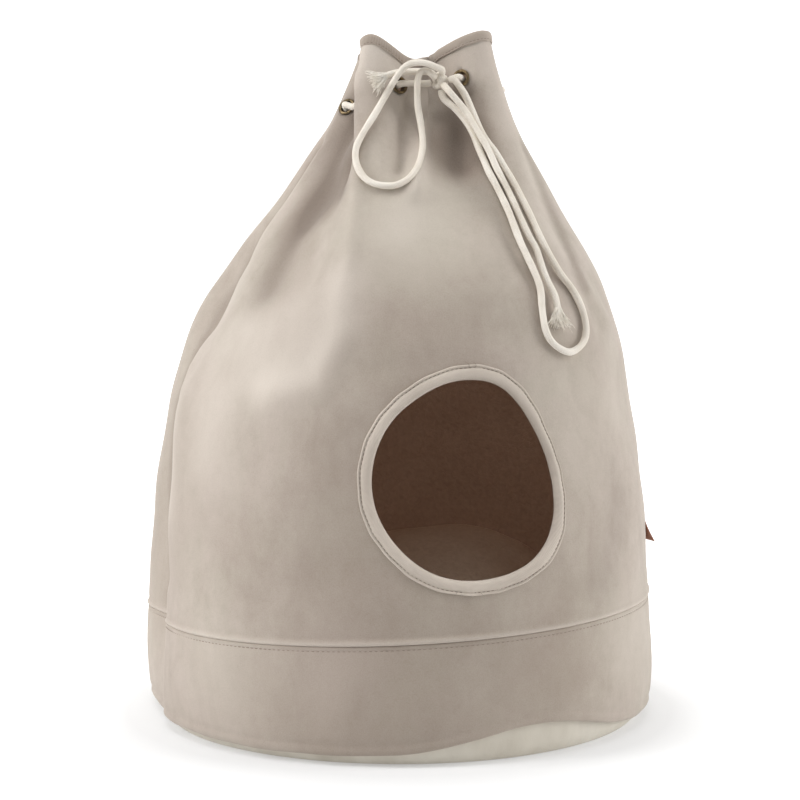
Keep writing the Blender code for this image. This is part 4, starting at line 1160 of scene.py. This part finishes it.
def frayed_end(name, node, points, way, face, length, finish):
    """A tuft of loose cotton strands that spreads from the end of a cord."""
    draw = random.Random(name)
    ways, across, over = cord_frames(points)
    start_way = ways[-1]
    way = unit(np.array(way))
    wide = unit(np.cross(way, face))
    out = np.cross(wide, way)
    tubes = []
    for _ in range(FRAY_STRANDS):
        angle = draw.uniform(0, 2 * math.pi)
        reach = DRAWN_RADIUS * 0.92 * math.sqrt(draw.random())
        seat = across[-1] * math.cos(angle) + over[-1] * math.sin(angle)
        root = points[-1] + seat * reach - start_way * 1.5 * MM
        fan = wide * seat.dot(wide) * 0.62 + out * seat.dot(out) * 0.34
        lean = fan * reach / DRAWN_RADIUS + wide * draw.gauss(0, 0.09) + out * draw.gauss(0, 0.06)
        line = fray_line(draw, root, start_way, way, wide, out, lean, length)
        radius = draw.uniform(0.20, 0.42) * MM
        _, sides, ups = cord_frames(line)
        widths = radius * (1 - 0.55 * np.linspace(0.0, 1.0, FRAY_RINGS) ** 2)
        tubes.append([ring_round(*row, FRAY_SIDES) for row in zip(line, sides, ups, widths)])
    piece = tubes_piece(name, tubes, finish)
    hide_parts(node)
    return piece


# The bow's strands. columns: piece, node, route, leaf that it starts from, leaf that it comes back to
STRANDS = (
    ("cord_loop_short", "bow_loop_short", LOOP_SHORT, "loop_short_out", "loop_short_back"),
    ("cord_loop_long", "bow_loop_long", LOOP_LONG, "loop_long_out", "loop_long_back"),
    ("cord_end_long", "bow_end_long", END_LONG, "end_long", None),
    ("cord_end_short", "bow_end_short", END_SHORT, "end_short", None),
)
# Their frayed ends. columns: piece, node, way that it hangs, way that its broad side faces, length
TUFTS = {
    "cord_end_long": ("tuft_long", "frayed_end_long", *FRAY_LONG, 17 * MM),
    "cord_end_short": ("tuft_short", "frayed_end_short", *FRAY_SHORT, 16 * MM),
}


def drawstring(cord_finish, fray_finish):
    """The cord round the neck, its knot, the bow's two loops and its two frayed ends."""
    neck = braided_cord("cord_round_neck", neck_route(), cord_finish)
    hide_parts("drawstring_neck")
    knot_pieces = knot(cord_finish)
    for name, node, route, start, end in STRANDS:
        points = bow_strand(route, start, end)
        piece = braided_cord(name, points, cord_finish)
        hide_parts(node)
        with_pieces = []
        if name in TUFTS:
            tuft_name, tuft_node, way, face, length = TUFTS[name]
            with_pieces.append(frayed_end(tuft_name, tuft_node, points, way, face, length, fray_finish))
        elif name == "cord_loop_short":
            with_pieces = knot_pieces
        length = float(run_lengths(points)[-1])


# Cushion

CUSHION_CENTRE = (0.0, 0.0, 0.06)
CUSHION_VOXEL = 5 * MM
CUSHION_START = 0.985
CUSHION_FLAT = 8 * MM
CUSHION_LOWEST = 4.6 * MM
CUSHION_CAP = 5 * MM
CUSHION_FRAMES = 20
CUSHION_PRESSURE = 4.0


def read_points(mesh):
    """A mesh's points."""
    points = np.empty(len(mesh.vertices) * 3)
    mesh.vertices.foreach_get("co", points)
    return points.reshape(-1, 3)


def move_points(mesh, points):
    """Put a mesh's points in new places."""
    mesh.vertices.foreach_set("co", points.ravel())
    mesh.update()


def apply_modifiers(piece):
    """Keep a piece's shape as its modifiers give it now, and drop them."""
    evaluated = piece.evaluated_get(bpy.context.evaluated_depsgraph_get())
    mesh = bpy.data.meshes.new_from_object(evaluated)
    piece.modifiers.clear()
    piece.data = mesh


def cushion(finish):
    """The filled cushion: the CAD's own shape, swollen by a cloth simulation inside a cap on its motion."""
    mesh = frame["nodes"]["cushion"].data.copy()
    mesh.name = "cushion_cover"
    mesh.materials.clear()
    piece = new_object("cushion_cover", mesh)
    remesh = piece.modifiers.new("remesh", "REMESH")
    remesh.mode = "VOXEL"
    remesh.voxel_size = CUSHION_VOXEL
    apply_modifiers(piece)
    rest = read_points(piece.data)
    centre = np.array(CUSHION_CENTRE)
    start = centre + (rest - centre) * CUSHION_START
    start[:, 2] = np.where(rest[:, 2] < CUSHION_FLAT, rest[:, 2], start[:, 2])
    move_points(piece.data, start)
    swell(piece, start)
    move_points(piece.data, pucker_cushion(read_points(piece.data)))
    smooth = piece.modifiers.new("subdivision", "SUBSURF")
    smooth.levels = 1
    smooth.render_levels = 1
    apply_modifiers(piece)
    piece.data.materials.append(finish)
    piece.data.shade_smooth()
    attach(piece, "root")
    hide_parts("cushion")
    return piece


def swell(piece, start):
    """Let the cushion's cover swell under pressure, no further than the cap from where it started."""
    scene = bpy.context.scene
    cloth = piece.modifiers.new("cloth", "CLOTH")
    settings = cloth.settings
    settings.use_pressure = True
    settings.uniform_pressure_force = CUSHION_PRESSURE
    settings.effector_weights.gravity = 0.0
    settings.quality = 5
    settings.tension_stiffness = 12
    settings.compression_stiffness = 8
    settings.bending_stiffness = 0.4
    cloth.point_cache.frame_start = 1
    cloth.point_cache.frame_end = CUSHION_FRAMES
    for number in range(1, CUSHION_FRAMES + 1):
        scene.frame_set(number)
    apply_modifiers(piece)
    scene.frame_set(1)
    move = read_points(piece.data) - start
    size = np.linalg.norm(move, axis=1, keepdims=True)
    kept = start + move * np.minimum(1.0, CUSHION_CAP / np.maximum(size, 1e-9))
    kept[:, 2] = np.maximum(kept[:, 2], CUSHION_LOWEST)
    move_points(piece.data, kept)


# Wrinkles that run in from the cushion's edge: azimuth in degrees, width in degrees, depth in mm
CUSHION_WRINKLES = (
    (-24, 4.0, 2.2), (-13, 3.0, 1.8), (-4, 3.5, 2.4), (6, 3.0, 2.2), (15, 4.0, 2.6), (25, 3.2, 1.8),
    (37, 5.0, 2.4), (62, 6.0, 2.6), (95, 6.0, 2.4), (128, 6.5, 2.6), (160, 6.0, 2.2),
    (197, 6.0, 2.6), (230, 6.5, 2.4), (262, 6.0, 2.6), (298, 6.5, 2.2), (322, 5.0, 2.4),
)


def pucker_cushion(points):
    """Press wrinkles in from the edge, which fade towards the crown."""
    x, y, z = points.T
    azimuth = np.degrees(np.arctan2(x, -y))
    reach = np.hypot(x, y)
    fade = smooth_step(0.05, 0.15, reach) * smooth_step(0.012, 0.03, z)
    depth = np.zeros(len(points))
    for number, (place, width, size) in enumerate(CUSHION_WRINKLES):
        bend = 3.0 * np.sin(reach * 40 + number)
        depth += size * MM * hump(angle_apart(azimuth, place + bend), width)
    waves = 1.2 * MM * np.sin(x * 60 + 1.0) * np.sin(y * 47)
    way = unit(np.stack([x * 0.5, y * 0.5, np.full(len(points), 0.12)], axis=1))
    return points - way * (depth * fade + waves * smooth_step(0.02, 0.05, z))[:, None]


# Leather tag

TAG_AZIMUTHS = (99.0, 91.0)
TAG_HEIGHTS = (0.1695, 0.1470)
TAG_THICKNESS = 1.8 * MM
TAG_CLEAR = 0.5 * MM
TAG_LIFT = 8.5 * MM
TAG_CURL = 1.3
TAG_CELLS = 28
# The pressed line near the tag's edge: depth, then place and width as shares of the tag
TAG_GROOVE = (0.22 * MM, 0.11, 0.02)


def tag_skin(side):
    """Grid of points of the tag's outer (1) or inner (-1) face."""
    depth, place, width = TAG_GROOVE
    shares = np.linspace(0.0, 1.0, TAG_CELLS)
    edge = np.minimum(shares, 1 - shares)
    azimuth = TAG_AZIMUTHS[0] + (TAG_AZIMUTHS[1] - TAG_AZIMUTHS[0]) * shares
    grid = []
    for row, down in enumerate(shares):
        z = np.full(TAG_CELLS, TAG_HEIGHTS[0] + (TAG_HEIGHTS[1] - TAG_HEIGHTS[0]) * down)
        lift = TAG_CLEAR + TAG_LIFT * (down * shares) ** TAG_CURL
        border = np.minimum(edge, edge[row])
        pad = TAG_THICKNESS / 2 * (0.35 + 0.65 * smooth_step(0.0, 0.08, border))
        out = lift + TAG_THICKNESS / 2 + side * (pad - depth * hump(border - place, width))
        grid.append(shell_offset(line_position(azimuth, z), z, out))
    return np.array(grid)


def leather_tag(finish):
    """The bare leather tab at the right side, whose lower front corner stands off the wall."""
    keep = np.ones((TAG_CELLS - 1, TAG_CELLS), dtype=bool)
    keep[:, -1] = False
    piece = sheet_piece("tag", tag_skin(1), tag_skin(-1), keep, finish)
    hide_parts("leather_tag")
    return piece


# Materials

# Places of the colour sockets on a Mix node
MIX_SHARE, MIX_FIRST, MIX_SECOND, MIX_RESULT = 0, 6, 7, 2


class Nodes:
    """Adds nodes to a tree. A value is a number, a colour or another node's output."""

    def __init__(self, tree):
        self.tree = tree
        self.coordinates = tree.nodes.new("ShaderNodeTexCoord").outputs

    def feed(self, sockets, values):
        """Set sockets to values, or link them."""
        for key, value in values.items():
            socket = sockets[key]
            if isinstance(value, bpy.types.NodeSocket):
                self.tree.links.new(value, socket)
            elif socket.type == "RGBA":
                socket.default_value = (*value, 1.0)
            else:
                socket.default_value = value

    def node(self, kind, output, inputs, **settings):
        """One output of a new node with its inputs and settings."""
        made = self.tree.nodes.new(kind)
        for key, value in settings.items():
            setattr(made, key, value)
        self.feed(made.inputs, inputs)
        return made.outputs[output]

    def along(self, vector, axis):
        """One coordinate of a vector."""
        return self.node("ShaderNodeSeparateXYZ", axis, {"Vector": vector})

    def math(self, operation, *values):
        """A sum, product or the like of values."""
        return self.node("ShaderNodeMath", "Value", dict(enumerate(values)), operation=operation)

    def distance(self, centre):
        """How far a point of the object is from a centre."""
        points = {0: self.coordinates["Object"], 1: centre}
        return self.node("ShaderNodeVectorMath", "Value", points, operation="DISTANCE")

    def remap(self, source, low, high, to_low, to_high, kind="LINEAR"):
        """Stretch a value from one range to another."""
        ranges = {"From Min": low, "From Max": high, "To Min": to_low, "To Max": to_high}
        return self.node("ShaderNodeMapRange", "Result", {"Value": source, **ranges}, interpolation_type=kind)


class Shader(Nodes):
    """A small helper that builds one material's nodes."""

    def __init__(self, name, roughness, metallic=0.0, specular=0.5):
        self.material = bpy.data.materials.new(name)
        self.material.use_nodes = True
        super().__init__(self.material.node_tree)
        self.last_bump = None
        self.surface({"Roughness": roughness, "Metallic": metallic, "Specular IOR Level": specular})

    def surface(self, values):
        """Set or link inputs of the surface itself."""
        self.feed(self.tree.nodes["Principled BSDF"].inputs, values)

    def sheen(self, weight, roughness, tint):
        """A soft bloom at grazing angles, as on napped cloth."""
        self.surface({"Sheen Weight": weight, "Sheen Roughness": roughness, "Sheen Tint": tint})

    def stretched(self, stretch, space="Object", turn=(0, 0, 0)):
        """Texture coordinates scaled along each axis, and turned."""
        inputs = {"Vector": self.coordinates[space], "Rotation": turn, "Scale": stretch}
        return self.node("ShaderNodeMapping", "Vector", inputs)

    def noise(self, scale, detail=3.0, roughness=0.55, distortion=0.0, stretch=(1, 1, 1), turn=(0, 0, 0)):
        """A noise value from 0 to 1."""
        inputs = {"Scale": scale, "Detail": detail, "Roughness": roughness, "Distortion": distortion}
        inputs["Vector"] = self.stretched(stretch, turn=turn)
        return self.node("ShaderNodeTexNoise", "Fac", inputs)

    def wave(self, scale, direction, distortion, stretch=(1, 1, 1)):
        """Stripes across one direction of the UV."""
        inputs = {"Scale": scale, "Distortion": distortion, "Detail": 2.0}
        inputs["Vector"] = self.stretched(stretch, "UV")
        return self.node("ShaderNodeTexWave", "Fac", inputs, wave_type="BANDS", bands_direction=direction)

    def ramp(self, source, *stops):
        """Colours along a value. Each stop is (place, colour)."""
        made = self.node("ShaderNodeValToRGB", "Color", {"Fac": source})
        elements = made.node.color_ramp.elements
        while len(elements) < len(stops):
            elements.new(0.5)
        for element, (place, color) in zip(elements, stops):
            element.position = place
            element.color = (*color, 1.0)
        return made

    def spot(self, centre, radius, share, ragged):
        """A soft round place of the object, from its share in the middle to 0, with a ragged edge."""
        wobble = self.remap(ragged, 0.3, 0.7, -0.25 * radius, 0.25 * radius)
        total = self.math("ADD", self.distance(centre), wobble)
        return self.remap(total, 1.25 * radius, 0.15 * radius, 0.0, share, "SMOOTHSTEP")

    def mix(self, first, second, share):
        """Mix two colours by a share."""
        inputs = {MIX_SHARE: share, MIX_FIRST: first, MIX_SECOND: second}
        return self.node("ShaderNodeMix", MIX_RESULT, inputs, data_type="RGBA")

    def color(self, value):
        """The surface's colour."""
        self.surface({"Base Color": value})

    def bump(self, height, distance):
        """Raise the surface by a value. Further calls add to it."""
        inputs = {"Height": height, "Distance": distance, "Strength": 1.0}
        if self.last_bump:
            inputs["Normal"] = self.last_bump
        self.last_bump = self.node("ShaderNodeBump", "Normal", inputs)
        self.surface({"Normal": self.last_bump})


SUEDE_PINK = (0.470, 0.398, 0.352)
SUEDE_GREEN = (0.445, 0.402, 0.334)
SUEDE_LIGHT = (0.590, 0.528, 0.466)
SUEDE_DARK = (0.265, 0.212, 0.168)
SUEDE_GREEN_LIGHT = (0.545, 0.505, 0.425)
# Colours of the painted shade in the folds and of the painted highlight on ridges and the hem
PAINTED_SHADE = (0.160, 0.125, 0.098)
PAINTED_HIGHLIGHT = (0.680, 0.615, 0.545)
BAND_DARK = (0.285, 0.232, 0.188)
# Broad places painted darker or lighter: painted shade in the valleys and over the front, painted highlight
# on the lit faces, and places where the nap lies one way or another. Columns: centre, radius, both in metres,
# colour, share
SHADE_AND_NAP_SPOTS = (
    ((0.02, -0.23, 0.045), 0.200, SUEDE_DARK, 0.62),
    ((0.01, -0.20, 0.325), 0.115, SUEDE_DARK, 0.52),
    ((-0.05, -0.21, 0.190), 0.120, SUEDE_DARK, 0.30),
    ((0.125, -0.18, 0.190), 0.075, SUEDE_DARK, 0.18),
    ((0.005, -0.13, 0.430), 0.080, SUEDE_GREEN_LIGHT, 0.60),
    ((0.155, -0.16, 0.275), 0.090, SUEDE_GREEN_LIGHT, 0.30),
    ((-0.100, -0.16, 0.345), 0.075, SUEDE_LIGHT, 0.62),
    ((-0.170, -0.13, 0.230), 0.085, SUEDE_LIGHT, 0.30),
    ((-0.085, -0.085, 0.455), 0.055, SUEDE_DARK, 0.75),
    ((-0.105, -0.115, 0.400), 0.050, SUEDE_DARK, 0.35),
    ((0.050, -0.070, 0.500), 0.045, SUEDE_DARK, 0.75),
    ((-0.230, -0.04, 0.180), 0.150, SUEDE_DARK, 0.42),
    ((0.150, -0.195, 0.065), 0.055, SUEDE_DARK, 0.45),
    ((0.140, -0.190, 0.140), 0.045, SUEDE_DARK, 0.16),
    ((0.215, -0.120, 0.085), 0.055, SUEDE_LIGHT, 0.35),
    ((-0.160, -0.180, 0.060), 0.060, SUEDE_LIGHT, 0.30),
    ((-0.060, -0.235, 0.085), 0.050, SUEDE_PINK, 0.35),
)
# Darker and lighter colour of the other finishes
LINING = ((0.40, 0.302, 0.23), (0.60, 0.477, 0.383))
CUSHION_PLUSH = ((0.48, 0.375, 0.28), (0.68, 0.555, 0.44))
THREAD = ((0.20, 0.155, 0.125), (0.30, 0.245, 0.205))
RIM_TAPE = ((0.33, 0.27, 0.222), (0.55, 0.478, 0.412))
ENTRY_TAPE = ((0.44, 0.378, 0.322), (0.68, 0.605, 0.525))
BRAID = ((0.66, 0.585, 0.485), (0.95, 0.90, 0.82))
LOOSE_COTTON = ((0.80, 0.73, 0.62), (0.97, 0.94, 0.88))
COTTON_BLOOM = (0.98, 0.95, 0.9)
CANVAS_SLUB, CANVAS_SOIL, CANVAS_LIGHT = (0.56, 0.515, 0.435), (0.55, 0.50, 0.42), (0.70, 0.66, 0.58)
BRASS = ((0.3, (0.060, 0.046, 0.030)), (0.55, (0.17, 0.125, 0.07)), (0.8, (0.36, 0.27, 0.15)))
LEATHER = ((0.3, (0.24, 0.100, 0.062)), (0.55, (0.37, 0.165, 0.105)), (0.8, (0.50, 0.250, 0.165)))


def suede(name, dark=SUEDE_DARK, light=SUEDE_LIGHT):
    """Short brushed nap: soft patches where it lies one way or another, fine fibre, bloom at the edges."""
    made = Shader(name, 0.93, specular=0.15)
    made.sheen(0.30, 0.45, (0.96, 0.91, 0.86))
    hue = made.noise(5.5, detail=2.0, distortion=0.6)
    patches = made.noise(7.5, detail=5.0, roughness=0.62, distortion=0.9)
    strokes = made.noise(24.0, detail=5.0, roughness=0.62, distortion=0.5,
                         stretch=(1.5, 1.5, 0.6), turn=(0.0, 0.6, 0.0))
    mottle = made.noise(95.0, roughness=0.65)
    grain = made.noise(1100.0, detail=2.0, roughness=0.7)
    cloth = made.ramp(hue, (0.38, SUEDE_PINK), (0.62, SUEDE_GREEN))
    cloth = made.mix(cloth, made.ramp(patches, (0.26, dark), (0.44, SUEDE_PINK), (0.58, SUEDE_GREEN),
                                      (0.78, light)), 0.66)
    cloth = made.mix(cloth, made.ramp(strokes, (0.26, dark), (0.50, SUEDE_GREEN), (0.74, light)), 0.38)
    cloth = made.mix(cloth, made.ramp(mottle, (0.28, dark), (0.50, SUEDE_PINK), (0.72, light)), 0.15)
    ragged = made.noise(13.0, detail=4.0, roughness=0.6)
    # Painted shade and painted highlight in broad spots, with places where the nap lies darker or lighter
    for centre, radius, color, share in SHADE_AND_NAP_SPOTS:
        cloth = made.mix(cloth, color, made.spot(centre, radius, share, ragged))
    # Painted shade along the folds, painted highlight on ridges and on the rolled hem, read from the mesh
    painted_shading = made.node("ShaderNodeAttribute", "Fac", {}, attribute_name="painted_shading")
    cloth = made.mix(cloth, PAINTED_SHADE, made.remap(painted_shading, -1.0, 0.0, 1.0, 0.0))
    cloth = made.mix(cloth, PAINTED_HIGHLIGHT, made.remap(painted_shading, 0.0, 1.0, 0.0, 1.0))
    made.color(made.mix(cloth, made.ramp(grain, (0.25, dark), (0.5, SUEDE_PINK), (0.78, light)), 0.20))
    made.surface({"Roughness": made.remap(patches, 0.3, 0.7, 0.97, 0.86)})
    made.bump(mottle, 0.22 * MM)
    made.bump(grain, 0.12 * MM)
    return made.material


def plush(name, low, high, painted_glow):
    """Short dense pile in small curls. glow is painted light: a faint warm emission that brightens the pile
    in the shaded inside.
    """
    made = Shader(name, 0.97, specular=0.08)
    # Painted light: the pile glows faintly in a warm colour, with no lamp inside
    made.surface({"Emission Color": (1.0, 0.56, 0.36), "Emission Strength": painted_glow})
    made.sheen(0.35, 0.6, high)
    curls = made.noise(210.0, roughness=0.65, distortion=0.5)
    pile = made.ramp(curls, (0.25, low), (0.75, high))
    made.color(made.mix(pile, made.ramp(made.noise(16.0), (0.3, low), (0.7, high)), 0.35))
    made.bump(curls, 1.1 * MM)
    made.bump(made.noise(700.0, detail=2.0), 0.25 * MM)
    return made.material


def canvas(name):
    """Plain-woven cream cotton, a little soiled and slubby."""
    made = Shader(name, 0.9, specular=0.2)
    made.sheen(0.15, 0.5, (0.9, 0.88, 0.82))
    slub = made.noise(40.0, detail=4.0, roughness=0.6, stretch=(1, 1, 0.4))
    made.color(made.mix(made.ramp(slub, (0.3, CANVAS_SLUB), (0.7, CANVAS_LIGHT)),
                        made.ramp(made.noise(9.0), (0.35, CANVAS_SOIL), (0.65, CANVAS_LIGHT)), 0.4))
    made.bump(made.noise(850.0, detail=2.0, roughness=0.6, stretch=(1, 1, 1.6)), 0.14 * MM)
    made.bump(made.noise(60.0), 0.3 * MM)
    return made.material


def ribbed_tape(name, low, high):
    """Woven tape with ribs across it, and nap that has worn off along the ribs."""
    made = Shader(name, 0.88, specular=0.2)
    made.sheen(0.25, 0.5, (0.9, 0.86, 0.8))
    ribs = made.wave(7.2, "X", 0.6)
    wear = made.noise(14.0, detail=4.0)
    made.color(made.mix(made.ramp(ribs, (0.1, low), (0.75, high)),
                        made.ramp(wear, (0.3, low), (0.7, high)), 0.55))
    made.bump(ribs, 0.16 * MM)
    made.bump(made.noise(520.0, detail=2.0), 0.10 * MM)
    return made.material


def cotton(name, low, high):
    """Soft spun cotton yarn."""
    made = Shader(name, 0.93, specular=0.2)
    made.sheen(0.3, 0.5, COTTON_BLOOM)
    fibre = made.noise(420.0, roughness=0.65)
    made.color(made.mix(made.ramp(fibre, (0.25, low), (0.7, high)),
                        made.ramp(made.noise(30.0), (0.3, low), (0.65, high)), 0.45))
    made.bump(fibre, 0.22 * MM)
    made.bump(made.noise(1300.0, detail=2.0), 0.08 * MM)
    return made.material


def braided_cotton(name, low, high):
    """Cotton braid: fine yarns that cross round the cord."""
    made = Shader(name, 0.93, specular=0.2)
    made.sheen(0.3, 0.5, COTTON_BLOOM)
    left, right = (made.wave(7.0, "DIAGONAL", 0.5, (way, 1, 1)) for way in (1, -1))
    yarns = made.math("MULTIPLY", left, right)
    made.color(made.mix(made.ramp(yarns, (0.0, low), (0.35, high)),
                        made.ramp(made.noise(34.0), (0.3, low), (0.65, high)), 0.5))
    made.bump(yarns, 0.22 * MM)
    made.bump(made.noise(1100.0, detail=2.0), 0.10 * MM)
    return made.material


def antique_brass(name):
    """Dark brass, brighter and shinier in random patches."""
    made = Shader(name, 0.38, metallic=1.0)
    tarnish = made.noise(260.0, detail=4.0, roughness=0.6)
    made.color(made.ramp(tarnish, *BRASS))
    made.surface({"Roughness": made.remap(tarnish, 0.3, 0.8, 0.55, 0.30)})
    made.bump(made.noise(600.0, detail=2.0), 0.03 * MM)
    return made.material


def leather(name):
    """Oiled brown leather with fine pores and paler worn places."""
    made = Shader(name, 0.55, specular=0.4)
    tone = made.noise(90.0, detail=4.0)
    made.color(made.ramp(tone, *LEATHER))
    pores = {"Vector": made.coordinates["Object"], "Scale": 900.0}
    made.bump(made.node("ShaderNodeTexVoronoi", "Distance", pores), 0.12 * MM)
    made.bump(made.noise(300.0), 0.08 * MM)
    made.surface({"Roughness": made.remap(tone, 0.3, 0.8, 0.62, 0.45)})
    return made.material


def sewing_thread(name, low, high):
    """Twisted sewing thread."""
    made = Shader(name, 0.75, specular=0.3)
    made.color(made.ramp(made.noise(900.0, detail=2.0), (0.3, low), (0.7, high)))
    made.bump(made.noise(1800.0, detail=1.0), 0.06 * MM)
    return made.material


# Stage

# Section of the floor and backdrop: distance from the object and height, in metres
FLOOR_SECTION = ((0.001, 0.0), (2.6, 0.0), (3.4, 0.05), (4.1, 0.25), (4.7, 0.70), (5.1, 1.40), (5.3, 2.4),
                 (5.35, 5.0))
FLOOR_TURNS = 96
FLOOR_DARK, FLOOR_LIGHT = (0.55, 0.55, 0.55), (0.57, 0.57, 0.57)
WHITE = (1.0, 1.0, 1.0)


def floor():
    """A plain pale floor that curves up into a backdrop far from the object."""
    turns = np.linspace(0.0, 2 * math.pi, FLOOR_TURNS, endpoint=False)
    points = [(r * math.cos(a), r * math.sin(a), z) for r, z in FLOOR_SECTION for a in turns]
    mesh = mesh_from("floor", points, ring_faces(len(FLOOR_SECTION), FLOOR_TURNS)[0])
    finish = Shader("floor_paper", 0.95, specular=0.05)
    finish.color(finish.ramp(finish.noise(3.0), (0.3, FLOOR_DARK), (0.7, FLOOR_LIGHT)))
    place = finish.coordinates["Object"]
    behind = finish.remap(finish.along(place, "Y"), -0.9, 0.1, 0.0, 0.85)
    sideways = finish.remap(finish.math("ABSOLUTE", finish.along(place, "X")), 1.3, 2.6, 1.0, 0.2)
    # Painted contact shadow: the floor's glow is cut down near the object
    painted_contact_shadow = finish.remap(finish.distance((0, 0, 0)), 0.245, 0.335, 0.50, 1.0)
    painted_glow = finish.math("MULTIPLY", finish.math("MULTIPLY", behind, sideways), painted_contact_shadow)
    finish.surface({"Emission Color": WHITE, "Emission Strength": painted_glow})
    mesh.materials.append(finish.material)
    mesh.shade_smooth()
    new_object("floor", mesh)


# columns: name, place, point that it faces, width and height in metres, power in watts
LIGHTS = (
    ("key_left", (-2.2, -0.75, 1.5), (0.0, 0.0, 0.34), (0.9, 1.4), 40.0),
    ("fill_right", (2.4, -0.40, 1.2), (0.0, 0.0, 0.30), (1.2, 1.8), 34.0),
    ("top", (-0.3, -0.75, 2.6), (0.0, 0.0, 0.45), (1.6, 1.2), 21.0),
)


def light(name, place, target, size, power):
    """A soft box."""
    data = bpy.data.lights.new(name, "AREA")
    data.shape = "RECTANGLE"
    data.size, data.size_y = size
    data.energy = power
    new_object(name, data).matrix_world = axis_matrix(place, Vector(place) - Vector(target))


def world():
    """White studio air: brighter behind the object than in front of it."""
    made = bpy.data.worlds.new("studio")
    made.use_nodes = True
    air = Nodes(made.node_tree)
    strength = air.remap(air.along(air.coordinates["Generated"], "Y"), -0.55, 0.55, 0.12, 1.02)
    air.feed(made.node_tree.nodes["Background"].inputs, {"Strength": strength, "Color": WHITE})
    bpy.context.scene.world = made


def camera():
    """The photograph's view."""
    data = bpy.data.cameras.new("photo_view")
    data.lens = CAMERA_LENS
    data.sensor_width = 36.0
    made = new_object("photo_view", data)
    made.location = CAMERA_PLACE
    made.rotation_euler = (math.radians(90.0 - CAMERA_TILT), 0.0, 0.0)
    bpy.context.scene.camera = made


def write_sizes():
    """Bring the scene up to date."""
    bpy.context.view_layer.update()


def main():
    bpy.context.scene.view_settings.view_transform = "Standard"
    camera()
    world()
    floor()
    for row in LIGHTS:
        light(*row)
    lining = plush("lining_plush", *LINING, painted_glow=0.026)
    thread = sewing_thread("thread", *THREAD)
    drawstring(braided_cotton("braid", *BRAID), cotton("loose_cotton", *LOOSE_COTTON))
    wall(suede("suede"), lining)
    band(suede("suede_band", dark=BAND_DARK), lining)
    base(canvas("canvas"))
    entry_tape(ribbed_tape("entry_suede", *ENTRY_TAPE))
    rim_tape(ribbed_tape("suede_tape", *RIM_TAPE))
    for sew in (seam_stitches, entry_stitches, rim_stitches, thread_tails):
        sew(thread)
    eyelets(antique_brass("brass"))
    cushion(plush("cushion_plush", *CUSHION_PLUSH, painted_glow=0.016))
    leather_tag(leather("leather"))
    write_sizes()


main()
